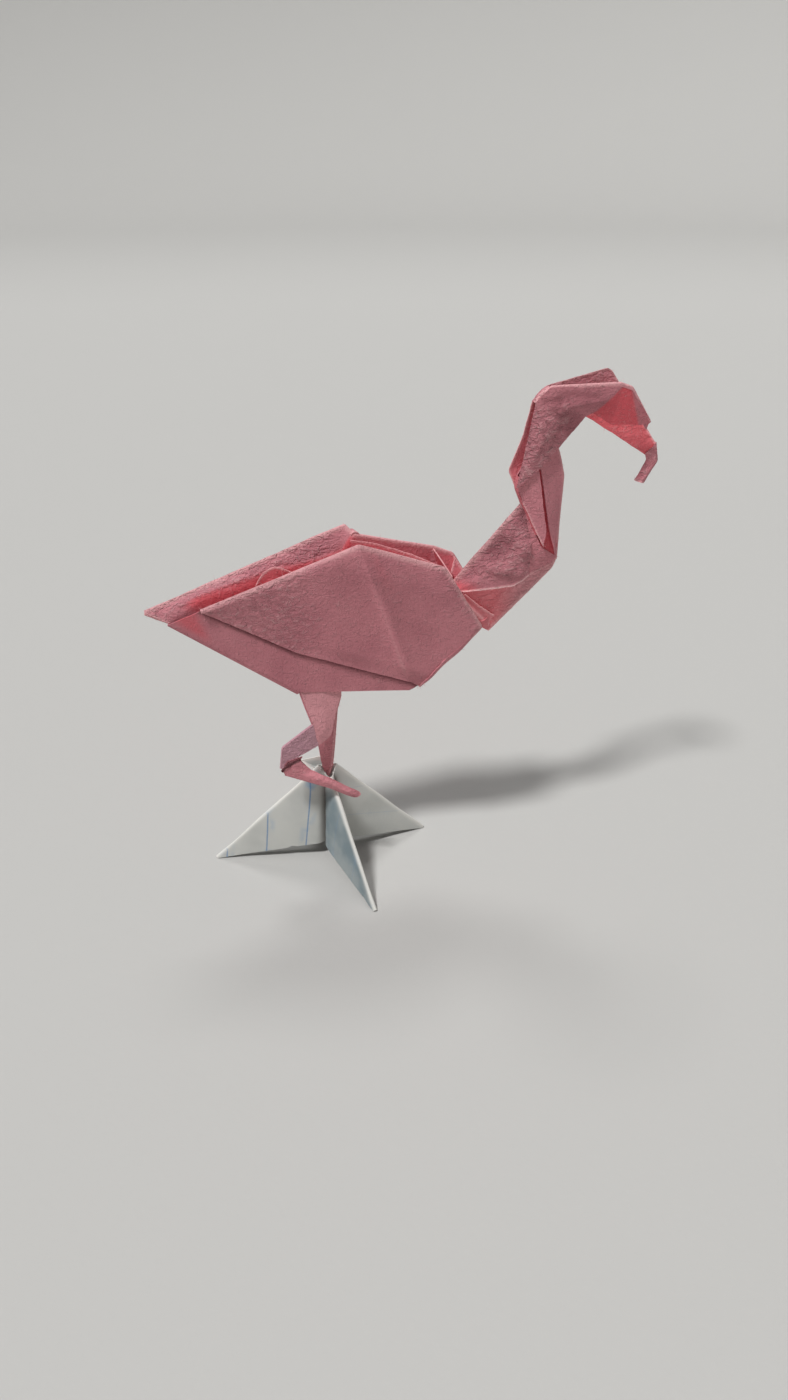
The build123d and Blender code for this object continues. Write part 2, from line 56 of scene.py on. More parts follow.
# What each point of a sheet carries for its material. On the pink sheet: how rubbed it is, which is also a
# painted highlight on lit crests and edges, how wrinkled, how much light comes through it, painted (below 0
# how cool it is), and its painted shade (below 0 a painted highlight). On the stand: how rubbed it is, with
# the same painted highlight, its bluish painted shade, how strong the ink of its rules is, and its painted
# shade.
MARKS = ("wear_and_highlight", "crinkle", "glow", "shade")

# How uneven a sheet is: the wave lengths of its sway, its wrinkles and its edges, and the heights of the
# last two. Each has its own chance numbers. A raw edge is pale over RAW_WIDTH: rubbed, and a painted
# highlight.
SWAY_WAVE = 9.0
CRINKLE_WAVE = 1.7
CRINKLE_HEIGHT = 0.07
CRINKLE_SEED = 40
EDGE_WAVE = 1.3
EDGE_HEIGHT = 0.09
EDGE_SEED = 90
RAW_WIDTH = 0.3
WAVES = 8

# Loose fibres: how likely flat and wrinkled paper bears one, beside the square of the wear_and_highlight
# mark, the range for their lengths, how much they lean and bend, and the share of the length and the radius
# of each ring
FLAT_HAIRS = 0.03
CRINKLE_HAIRS = 0.06
HAIR_SEED = 7
HAIR_LENGTH = (0.25, 0.85)
HAIR_BEND = 0.45
HAIR_RINGS = ((0.0, 0.018), (0.35, 0.016), (0.7, 0.012), (1.0, 0.005))
HAIR_SIDES = 3


# Surfaces

def spread(lines, cells):
    """New points on each run of the first direction, evenly spaced, as many as cells gives."""
    stops = np.concatenate([i + np.arange(n) / n for i, n in enumerate(cells)] + [[len(lines) - 1]])
    low = np.minimum(stops.astype(int), len(lines) - 2)
    share = (stops - low).reshape((-1,) + (1,) * (lines.ndim - 1))
    return lines[low] * (1 - share) + lines[low + 1] * share


def counts(lines, cell):
    """How many cells each run of the first direction takes at its longest."""
    longest = np.linalg.norm(np.diff(lines[..., :3], axis=0), axis=2).max(1)
    return np.maximum(1, np.ceil(longest / cell)).astype(int)


def filled(net, cell):
    """A net of points filled in: each cell is a twisted four-sided face, straight along its sides."""
    net = np.asarray(net, float)
    grid = spread(net, counts(net, cell)).transpose(1, 0, 2)
    across = net.transpose(1, 0, 2)
    return spread(grid, counts(across, cell)).transpose(1, 0, 2)


def soften(grid, passes):
    """Each inner point moves to the weighted middle of its neighbours, so that a crease is a soft bend."""
    for _ in range(2 * passes):
        grid = grid.copy()
        grid[1:-1] = grid[1:-1] / 2 + (grid[:-2] + grid[2:]) / 4
        grid = grid.transpose(1, 0, 2)
    return grid


def unit(vectors):
    """The vectors at length one."""
    return vectors / np.maximum(np.linalg.norm(vectors, axis=-1, keepdims=True), TINY)


def facing(grid):
    """The direction that the surface faces: the cross product of its runs along and across."""
    return unit(np.cross(np.gradient(grid, axis=0), np.gradient(grid, axis=1)))


def half_round(first, second, outward, steps=6, bulge=1.0):
    """The rows of a fold, round in section: half a circle that bulges outward from one row to the other.
    bulge is the share of the full height, for the whole fold or for each place along it."""
    middle = (first + second) / 2
    arm = first - middle
    rise = np.linalg.norm(arm, axis=1, keepdims=True) * np.reshape(bulge, (-1, 1))
    turns = np.pi * np.arange(1, steps) / steps
    return [middle + arm * np.cos(turn) + outward * rise * np.sin(turn) for turn in turns]


def draped(first, second, outward, drop, steps=9):
    """The rows of a soft fold, with its far row: half a circle whose far side hangs lower by drop."""
    width = np.linalg.norm(second - first, axis=1, keepdims=True)
    fall = np.reshape(drop, (-1, 1))
    rows = []
    for share in (1 - np.cos(np.pi * np.arange(1, steps + 1) / steps)) / 2:
        rise = width * np.sqrt(share * (1 - share)) - fall * share ** 2
        rows.append(first + (second - first) * share + outward * rise)
    return rows


def square_to(row, turn):
    """The direction square to a row at each point, in side view: to the left of its run for turn 1."""
    run = np.gradient(row, axis=0)
    return unit(np.stack([-run[:, 2], np.zeros(len(row)), run[:, 0]], 1)) * turn


def distance(points, line):
    """The distance from each point to a line of points."""
    best = np.full(points.shape[:-1], np.inf)
    for a, b in zip(line[:-1], line[1:]):
        run = b - a
        share = np.clip((points - a) @ run / max(run @ run, TINY), 0, 1)
        best = np.minimum(best, np.linalg.norm(points - a - share[..., None] * run, axis=-1))
    return best


def side_distance(grid, line):
    """The distance in side view from each point to a line of places (x, z)."""
    return distance(grid[..., [0, 2]], np.array(line, float))


def beside(grid, line, width):
    """1 on a line in side view, and a smooth step down to 0 at a width beside it."""
    return step(side_distance(grid, line), width, 0.0)


def ripple(points, wave, seed):
    """Smooth chance unevenness between -1 and 1: the mean of WAVES sine waves in chance directions."""
    chance = np.random.default_rng(seed)
    total = 0
    for _ in range(WAVES):
        direction = unit(chance.normal(size=3))
        length = wave * chance.uniform(0.6, 1.6)
        total = total + np.sin(points @ direction * 2 * np.pi / length + chance.uniform(0, 2 * np.pi))
    return total / WAVES


def step(amount, low, high):
    """A smooth step: 0 at low, 1 at high, an S-shaped change between them and flat past both. low may be
    the greater of the two."""
    share = np.clip((amount - low) / (high - low), 0, 1)
    return share * share * (3 - 2 * share)


def bell(amount, width):
    """A bell curve: 1 at 0, and falling to both sides."""
    return np.exp(-(amount / width) ** 2)


def beyond(grid, a, b):
    """How far each point lies in side view beyond the line from a to b: to the right of a line that runs
    down, and above one that runs to the right."""
    run = np.array([b[0] - a[0], b[1] - a[1]])
    run = run / hypot(*run)
    return (grid[..., 2] - a[1]) * run[0] - (grid[..., 0] - a[0]) * run[1]


def dents(marks):
    """Soft hollows and ridges along lines in side view. Each has its two ends, a half width and a height
    outward, which is the height of a bell curve across the line."""
    def relief(grid):
        shift = np.zeros_like(grid)
        for a, b, width, height in marks:
            shift[..., 1] += np.sign(grid[..., 1]) * height * bell(side_distance(grid, [a, b]), width)
        return shift
    return relief


class Folded:
    """A folded sheet, gathered patch by patch. Each patch is a grid of points with its marks for the
    material: rubbed paper with a painted highlight, wrinkles, light painted as coming through, and painted
    shade.
    """

    def __init__(self, paper, seed=0):
        self.paper = paper
        self.seed = seed
        self.patches = []

    def patch(self, net, folds=(), wear_and_highlight_width=0.45, raw="", cut="", soft=1, sway=0.05, crinkle=0.0, glow=0.0,
              shade=0.0, relief=None, cell=CELL):
        """One patch from a net of points, each (x, y, z) and perhaps its place (u, v) on the flat sheet.
        folds are lines of pale creases, rubbed paper and a painted highlight: the mark is a bell curve
        across them, wear_and_highlight_width wide. raw and cut name sides: the first and last row, and the
        start and end of every row. Both are a little uneven, and raw ones are pale, rubbed and a painted
        highlight. sway is how unevenly the paper lies, and relief gives a shift for each point. crinkle,
        glow and shade are marks, numbers or functions of the points, and crinkle makes wrinkles too. glow is
        light painted as coming through, shade is painted shade."""
        seed = self.seed + len(self.patches)
        full = filled(net, cell)
        grid = soften(full[..., :3], soft)
        crinkle = crinkle(grid) if callable(crinkle) else crinkle
        swayed = sway * ripple(grid, SWAY_WAVE, seed)
        wrinkled = CRINKLE_HEIGHT * crinkle * ripple(grid, CRINKLE_WAVE, seed + CRINKLE_SEED)
        grid = grid + facing(grid) * (swayed + wrinkled)[..., None]
        if relief is not None:
            grid = grid + relief(grid)
        wear_and_highlight = np.zeros(grid.shape[:2])
        for line in folds:
            wear_and_highlight = np.maximum(wear_and_highlight, bell(distance(grid, np.asarray(line, float)), wear_and_highlight_width))
        sides = {"first": (grid[0], grid[1]), "last": (grid[-1], grid[-2]),
                 "start": (grid[:, 0], grid[:, 1]), "end": (grid[:, -1], grid[:, -2])}
        for name in (raw + " " + cut).split():
            edge, inner = sides[name]
            if name in raw:
                wear_and_highlight = np.maximum(wear_and_highlight, bell(distance(grid, edge.copy()), RAW_WIDTH))
            edge += unit(edge - inner) * EDGE_HEIGHT * ripple(edge, EDGE_WAVE, seed + EDGE_SEED)[:, None]
        glow = glow(grid) if callable(glow) else glow
        shade = shade(grid) if callable(shade) else shade
        marks = {name: np.broadcast_to(amount, grid.shape[:2]).ravel()
                 for name, amount in zip(MARKS, (wear_and_highlight, crinkle, glow, shade))}
        flat = full[..., 3:] if full.shape[-1] == 5 else np.zeros(full.shape[:2] + (2,))
        self.patches.append((grid, flat.reshape(-1, 2), marks))
        return grid

    def gathered(self):
        """All patches as one list of points and triangles, welded where points of a patch fall together.
        Triangles without three separate points are left out, and so are doubles."""
        grids = [grid for grid, _, _ in self.patches]
        points = np.concatenate([grid.reshape(-1, 3) for grid in grids])
        owner = np.repeat(np.arange(len(grids)), [grid.size // 3 for grid in grids])
        triangles = []
        start = 0
        for grid in grids:
            index = np.arange(grid.size // 3).reshape(grid.shape[:2]) + start
            a, b, c, d = index[:-1, :-1], index[1:, :-1], index[1:, 1:], index[:-1, 1:]
            triangles += [np.stack([a, b, c], -1).reshape(-1, 3), np.stack([a, c, d], -1).reshape(-1, 3)]
            start += index.size
        key = np.column_stack([np.round(points / WELD), owner]).astype(np.int64)
        _, first, same = np.unique(key, axis=0, return_index=True, return_inverse=True)
        triangles = same.ravel()[np.concatenate(triangles)]
        a, b, c = triangles.T
        triangles = triangles[(a != b) & (b != c) & (c != a)]
        _, once = np.unique(np.sort(triangles, axis=1), axis=0, return_index=True)
        return points[first], triangles[np.sort(once)], first

    def mesh(self, name, hairs=0):
        """The sheet as a closed mesh: the middle surface moved half the paper to each side, and a rim
        along every edge that only one triangle has. hairs is how many loose fibres stand off it."""
        points, triangles, first = self.gathered()
        corners = points[triangles]
        face = np.cross(corners[:, 1] - corners[:, 0], corners[:, 2] - corners[:, 0])
        normal = np.zeros_like(points)
        for i in range(3):
            np.add.at(normal, triangles[:, i], face)
        thick = unit(normal) * self.paper / 2
        half = len(points)
        sides = np.concatenate([triangles[:, [0, 1]], triangles[:, [1, 2]], triangles[:, [2, 0]]])
        rim = sides[~np.isin(sides @ [half, 1], sides @ [1, half])]
        a, b = rim.T
        walls = [np.stack([b, a, a + half], 1), np.stack([b, a + half, b + half], 1)]
        faces = np.concatenate([triangles, triangles[:, ::-1] + half] + walls)
        places = np.concatenate([points + thick, points - thick])
        marks = {mark: np.tile(np.concatenate([patch[2][mark] for patch in self.patches])[first], 2)
                 for mark in MARKS}
        flat = np.tile(np.concatenate([patch[1] for patch in self.patches])[first], (2, 1))
        if hairs:
            roots = FLAT_HAIRS + marks["wear_and_highlight"] ** 2 + CRINKLE_HAIRS * marks["crinkle"]
            directions = np.concatenate([unit(normal), -unit(normal)])
            strands, hair_faces, root = fibres(places, directions, roots, hairs)
            faces = np.concatenate([faces, hair_faces + len(places)])
            places = np.concatenate([places, strands])
            marks = {mark: np.concatenate([amount, amount[root]]) for mark, amount in marks.items()}
            flat = np.concatenate([flat, flat[root]])
        places = (places + SOCKET) * MM
        places[:, 2] = np.maximum(places[:, 2], 0)
        faces = faces.astype(np.int32)
        mesh = bpy.data.meshes.new(name)
        mesh.vertices.add(len(places))
        mesh.vertices.foreach_set("co", places.ravel().astype(np.float32))
        mesh.loops.add(faces.size)
        mesh.loops.foreach_set("vertex_index", faces.ravel())
        mesh.polygons.add(len(faces))
        mesh.polygons.foreach_set("loop_start", np.arange(0, faces.size, 3, dtype=np.int32))
        mesh.polygons.foreach_set("use_smooth", np.ones(len(faces), bool))
        mesh.update(calc_edges=True)
        for mark, amount in marks.items():
            mesh.attributes.new(mark, "FLOAT", "POINT").data.foreach_set("value", amount.astype(np.float32))
        layer = mesh.uv_layers.new(name="flat sheet")
        layer.data.foreach_set("uv", flat[faces.ravel()].ravel().astype(np.float32))
        mesh.set_sharp_from_angle(angle=SHARP_ANGLE)
        return mesh


def fibres(places, directions, roots, count):
    """Loose fibres: thin three-sided strands that leave the surface and bend as a parabola. roots is how
    likely each place bears one. A length is a chance number in its range to the power 1.5. Returns their
    points, their triangles and each point's place."""
    chance = np.random.default_rng(HAIR_SEED)
    root = chance.choice(len(places), count, p=roots / roots.sum())
    upright = directions[root] * chance.uniform(0.1, 0.8, (count, 1))
    lean = unit(upright + chance.normal(size=(count, 3)) * HAIR_BEND)
    bend = unit(chance.normal(size=(count, 3))) * HAIR_BEND
    length = chance.uniform(*HAIR_LENGTH, (count, 1)) ** 1.5
    side = unit(np.cross(lean, bend))
    other = np.cross(lean, side)
    rings = []
    for share, radius in HAIR_RINGS:
        middle = places[root] + (lean * share + bend * share ** 2) * length
        rings += [middle + radius * (side * np.cos(turn) + other * np.sin(turn))
                  for turn in 2 * np.pi * np.arange(HAIR_SIDES) / HAIR_SIDES]
    n = HAIR_SIDES
    each = len(rings)
    quads = [(r + i, r + (i + 1) % n, r + n + (i + 1) % n, r + n + i)
             for r in range(0, each - n, n) for i in range(n)]
    shape = [(a, b, c) for a, b, c, d in quads] + [(a, c, d) for a, b, c, d in quads]
    shape += [(0, 2, 1), (each - 3, each - 2, each - 1)]
    faces = np.array(shape)[None] + each * np.arange(count)[:, None, None]
    return np.stack(rings, 1).reshape(-1, 3), faces.reshape(-1, 3), np.repeat(root, each)


# The flamingo. Names of places are those of the part's source.

TAIL_FOLD = (-22.9, 47.7)
WING_BACK = (-17.9, 49.6)
WING_PEAK = (6.3, 58.5)
WING_CREASE = (9.4, 57.4)
WING_SHOULDER = (19.7, 53.7)
BREAST_TIP = (26.2, 42.7)
BREAST_MIDDLE = (20.4, 37.2)
BREAST_LOW = (16.1, 32.7)
BELLY_FRONT = (14.6, 31.8)
BELLY_BACK = (-3.5, 33.4)
KEEL_MIDDLE = (-13.2, 40.55)
CREASE_FOOT = (14.5, 33.6)
KEEL = [TAIL_FOLD, KEEL_MIDDLE, BELLY_BACK]

# How far the flaps lie off the walls at their fold and at their raw edge, and the two layers of a leg apart.
# Paper further off a wall than FLAP_FROM is flap or fold.
FLAP_GAP = 0.65
EDGE_GAP = 0.32
FLAP_FROM = 0.15
LAYER_STEP = 0.35
WALL_OUT = (0.3, 0.85, 2.5)

# A flap's relief from its crease: how far the rise reaches behind and in front of it, and two more swells,
# each with its place, its half width and its share of the height
RISE_BEHIND = 1.5
RISE_BEFORE = 5.0
SWELLS = ((-7.0, 3.5, 0.5), (9.5, 2.5, 0.45))


def wall(side, x, z):
    """How far out a body wall lies: each wall is flat, and WALL_OUT gives it at three places."""
    places = np.array([TAIL_FOLD, BELLY_BACK, WING_PEAK])
    plane = np.linalg.solve(np.column_stack([np.ones(3), places]), WALL_OUT)
    return side * (plane[0] + plane[1] * x + plane[2] * z)


def off_wall(grid):
    """How far each point lies outside the body wall on its own side."""
    return np.abs(grid[..., 1]) - wall(1, grid[..., 0], grid[..., 2])


def on_flap(grid):
    """Whether each point is on a flap or its fold."""
    return off_wall(grid) >= FLAP_FROM


def on_wall(side, places, out=0.0):
    """A row of side view places put on a body wall, or on a layer that lies further out."""
    return np.array([(x, wall(side, x, z) + side * out, z) for x, z in places])


def flap_relief(side, height, edge):
    """A flap rises steeply to its crease from the back, and falls back slowly in front of it, each time as
    an exponential curve. Two soft swells, bell curves across, stand beside it. At the top fold and at its
    lower edge the flap lies close."""
    def relief(grid):
        front = beyond(grid, WING_PEAK, CREASE_FOOT)
        rise = np.exp(-np.abs(front) / np.where(front < 0, RISE_BEHIND, RISE_BEFORE))
        for place, width, share in SWELLS:
            rise = rise + share * bell(front - place, width)
        lower = step(side_distance(grid, [WING_PEAK, WING_SHOULDER]), 0.0, 4.0)
        above = step(side_distance(grid, edge), 0.0, 3.0)
        shift = np.zeros_like(grid)
        shift[..., 1] = side * height * rise * lower * above * step(off_wall(grid), 0.12, 0.27)
        return shift
    return relief


def near_wing(sheet):
    """The right wall, the round fold along its top and breast, and the flap folded down outside it."""
    chain = [WING_BACK, (-5.8, 54.05), WING_PEAK, WING_CREASE, WING_SHOULDER, BREAST_TIP, BREAST_MIDDLE,
             BREAST_LOW]
    foot = [*KEEL, (1.0, 33.0), (8.0, 32.4), BELLY_FRONT, (15.4, 32.2), BREAST_LOW]
    edge = [WING_BACK, (-3.8, 41.0), CREASE_FOOT, (14.9, 33.4), (15.5, 33.0)] + [BREAST_LOW] * 3
    inner = on_wall(RIGHT, chain)
    outer = on_wall(RIGHT, chain, FLAP_GAP)
    fold = draped(inner, outer, square_to(inner, 1), [0.1, 1.3, 1.0, 1.2, 1.3, 1.1, 0.5, 0.05])
    raw_edge = on_wall(RIGHT, edge, EDGE_GAP)

    def crinkle(grid):
        """The flap is wrinkled towards the tail and along the breast, and little between."""
        tail = step(grid[..., 0], 5.0, -8.0)
        breast = 0.8 * step(np.abs(beyond(grid, WING_SHOULDER, BREAST_TIP)), 3.0, 0.0)
        return np.maximum(np.maximum(tail, breast), 0.12) * step(off_wall(grid), 0.1, 0.2)

    def glow(grid):
        """Light comes through the wall at the tail, and a little through the flap in front of its crease."""
        ahead = beyond(grid, (-18.5, 49.3), (-16.8, 43.7))
        keel = side_distance(grid, [TAIL_FOLD, KEEL_MIDDLE])
        tail = 0.6 * step(ahead, 1.3, -1.3) * step(ahead, -8.5, -1.5) * step(keel, -0.4, 1.6)
        front = np.clip(beyond(grid, WING_PEAK, CREASE_FOOT) / 1.5, 0, 1) * step(grid[..., 2], 47.0, 55.0)
        front = 0.2 * front * step(beyond(grid, WING_CREASE, BREAST_MIDDLE), 0.0, -1.0)
        return np.where(on_flap(grid), front, tail)

    def shade(grid):
        """The wall has a painted shadow under the flap's edge and a little painted shade all over. The flap
        has painted shade in front of its crease, is darker high up, and its crease has a painted highlight."""
        under_edge = bell(side_distance(grid, edge), 0.6)
        front = beyond(grid, WING_PEAK, CREASE_FOOT)
        before = 0.17 * np.exp(-np.maximum(front, 0) / 4.0) * (front > 0)
        along = step(grid[..., 2], 55.0, 49.0) * step(grid[..., 2], 34.0, 37.0)
        upper = 0.13 * step(grid[..., 2], 36.0, 45.0)
        return np.where(on_flap(grid), before - 0.3 * bell(front, 0.6) * along + upper,
                        np.maximum(under_edge, 0.1))

    sheet.patch([on_wall(RIGHT, foot), inner, *fold, raw_edge], folds=[fold[3]], wear_and_highlight_width=0.7,
                cut="last start", crinkle=crinkle, glow=glow, shade=shade,
                relief=flap_relief(RIGHT, 1.1, edge), cell=WING_CELL)


def far_wing(sheet):
    """The left wall, its leaning top band from the tail to the peak, and its flap. The band's middle row
    lies a little nearer than halfway, which makes the band hollow."""
    tip = (-26.2, 1.3, 49.2)
    back = (-18.0, 2.1, 51.9)
    high = (5.6, 3.9, 59.3)
    chain = [(6.6, 58.2), (19.6, 54.6), (22.9, 53.1), (24.9, 49.7), BREAST_TIP, BREAST_MIDDLE,
             BREAST_LOW]
    under = [(6.0, 57.0), (19.0, 53.4), (22.2, 52.1), (23.9, 49.2), (25.0, 43.0), (19.4, 37.0),
             (15.8, 32.65)]
    crease = on_wall(LEFT, [TAIL_FOLD, (-17.8, 50.7), (4.3, 54.5)] + under)
    top = np.vstack([[tip, back, high], on_wall(LEFT, chain)])
    band = (crease + top) / 2 - np.array([0.2, 0.4, 0.3] + [0.0] * 7)[:, None] * [0, 1, -0.3]
    foot = on_wall(LEFT, [*KEEL, (1.0, 33.0), (8.0, 32.4), (12.0, 32.0), BELLY_FRONT, (15.0, 32.0),
                          (15.5, 32.3), BREAST_LOW])
    outer = top + [0, FLAP_GAP, 0]
    low = [(-25.9, 48.7), (-14.0, 44.8), (7.0, 36.9), (10.0, 35.6), CREASE_FOOT, (15.0, 33.3),
           (15.5, 33.0)] + [BREAST_LOW] * 3
    edge = on_wall(LEFT, low, EDGE_GAP)
    edge[0, 1] = tip[1] + FLAP_GAP
    fold = draped(top, outer, square_to(top, 1), [0.1, 1.0, 1.0, 1.0, 1.0, 0.6, 0.8, 0.8, 0.5, 0.05])

    def crinkle(grid):
        """The band and the flap are wrinkled behind the peak."""
        return 0.9 * step(grid[..., 0], 6.0, 1.0) * step(off_wall(grid), -0.1, 0.4)

    def glow(grid):
        """The inside of the wall glows above the flap's lower edge, and most behind the peak."""
        valley = step(np.abs(off_wall(grid)), 0.55, 0.0) * (0.9 - 0.5 * step(grid[..., 0], 5.5, 7.0))
        return valley * step(beyond(grid, low[0], CREASE_FOOT), 1.5, 4.5) * step(grid[..., 2], 43.0, 47.0)

    sheet.patch([foot, crease, band, top, *fold, edge], folds=[fold[2]], wear_and_highlight_width=0.6, cut="last",
                raw="start", crinkle=crinkle, glow=glow, relief=flap_relief(LEFT, 0.5, low),
                cell=WING_CELL)

    # The band's end at the tail is rolled back, and a scrap of its other end curls up at the peak
    end = np.array([tip, (-25.4, 1.05, 48.85), (-24.3, 0.75, 48.3), (TAIL_FOLD[0], 0.3, TAIL_FOLD[1])])
    rear = end + np.array([0.75, 0.7, 0.45, 0.1])[:, None] * [0.1, 1, 0.3]
    roll = half_round(end, rear, square_to(end, -1), 8)
    sheet.patch([end, *roll, rear], folds=[end, roll[3]], wear_and_highlight_width=0.3, sway=0.0, cell=0.2)
    scroll = [[(6.9 + 0.6 * np.cos(t), 2.5, 58.2 + 0.45 * np.sin(t)),
               (6.5 + 0.5 * np.cos(t), 3.9, 58.3 + 0.4 * np.sin(t))]
              for t in np.linspace(-0.3, 1.45, 10) * np.pi + 0.6]
    sheet.patch(scroll, folds=[[row[0] for row in scroll]], wear_and_highlight_width=1.0, raw="first last", sway=0.0, cell=0.2)


def trough(sheet):
    """The keel fold under the walls, and the panels that cross the trough between them."""
    right, left = on_wall(RIGHT, KEEL), on_wall(LEFT, KEEL)
    sheet.patch([right, *half_round(right, left, square_to(right, -1)), left], sway=0)

    pleat = np.array([(5.9, 1.7, 57.8), (9.65, 1.0, 57.2), (15.2, -0.6, 55.4), (18.8, -2.1, 53.9)])
    feet = pleat - [0, 0, 8.0]
    feet[0, 1], feet[-1, 1] = wall(LEFT, 5.9, 49.8), wall(RIGHT, 18.8, 45.9)
    sheet.patch([pleat, pleat - [0, 0.1, 1.0], feet], folds=[pleat], wear_and_highlight_width=0.35, raw="first",
                glow=0.75)

    # The panel across the trough's front is lit through, and has a little painted shade
    end = [[(19.6, wall(LEFT, 19.6, 54.6), 54.5), (21.0, wall(RIGHT, 21.0, 52.2), 52.2)],
           [(22.9, wall(LEFT, 22.9, 42.1), 42.1), (22.9, wall(RIGHT, 22.9, 42.1), 42.1)]]
    sheet.patch(end, raw="first", glow=0.6, shade=0.15, cell=0.3)

    # The far shoulder opens as a small cone: a pocket lit through and darkened by painted shade, with a
    # front edge that is pale, rubbed and a painted highlight
    apex = (22.3, 1.5, 50.4)
    mouth = [(19.7, 3.2, 54.1), (20.8, 3.7, 54.1), (22.2, 3.7, 53.6), (23.2, 3.1, 52.9),
             (23.2, 2.3, 52.4)]
    sheet.patch([mouth, [apex] * len(mouth)], folds=[mouth], wear_and_highlight_width=0.3, raw="first", glow=0.7, shade=0.35,
                cell=0.25)
    leaf = [(19.6, 3.1, 54.25), (21.4, 2.5, 51.8), (22.4, 1.5, 50.1)]
    rear = on_wall(LEFT, [(18.0, 54.4), (18.6, 51.0), (19.6, 48.0)], 0.2)
    sheet.patch([leaf, rear], folds=[leaf], wear_and_highlight_width=0.25, raw="first", sway=0.0, glow=0.2,
                cell=0.25)
    front = [[(23.2, 2.7, 52.7), (24.7, 1.6, 50.1), (25.6, 1.5, 48.0)],
             [(22.1, 1.1, 50.9), (22.9, 0.6, 49.6), (24.0, 0.4, 46.5)]]
    sheet.patch(front, folds=[front[0]], raw="start", glow=0.45, cell=0.3)

    # A loose end of paper curls up inside the trough, lit through and with a little painted shade
    curl = np.array([(-9.4, -0.9, 52.9), (-8.9, -0.8, 53.9), (-8.1, -0.7, 54.8), (-7.2, -0.7, 55.4),
                     (-6.4, -0.8, 55.7), (-5.2, -0.9, 55.4), (-3.7, -1.1, 54.6)])
    base = curl - [0, 0, 3.2]
    base[:, 1] = -1.5
    hollow = (curl + base) / 2 + [0, 0.35, 0]
    sheet.patch([curl, hollow, base], raw="first", folds=[curl], wear_and_highlight_width=0.2, glow=0.85, shade=0.12, cell=0.2)


def mirrored(places, side, shift=0.0):
    """Side view places with their half width as the third number, or rows of them, put on one side of the
    bird."""
    x, z, y = np.moveaxis(np.array(places), -1, 0)
    return np.stack([x, side * (y + shift), z], -1)


def joined(places, turn, steps=6, bulge=1.0):
    """Rows from the right side to the left one, with a round fold between them."""
    right, left = mirrored(places, RIGHT), mirrored(places, LEFT)
    return [right, *half_round(right, left, square_to(right, turn), steps, bulge), left]


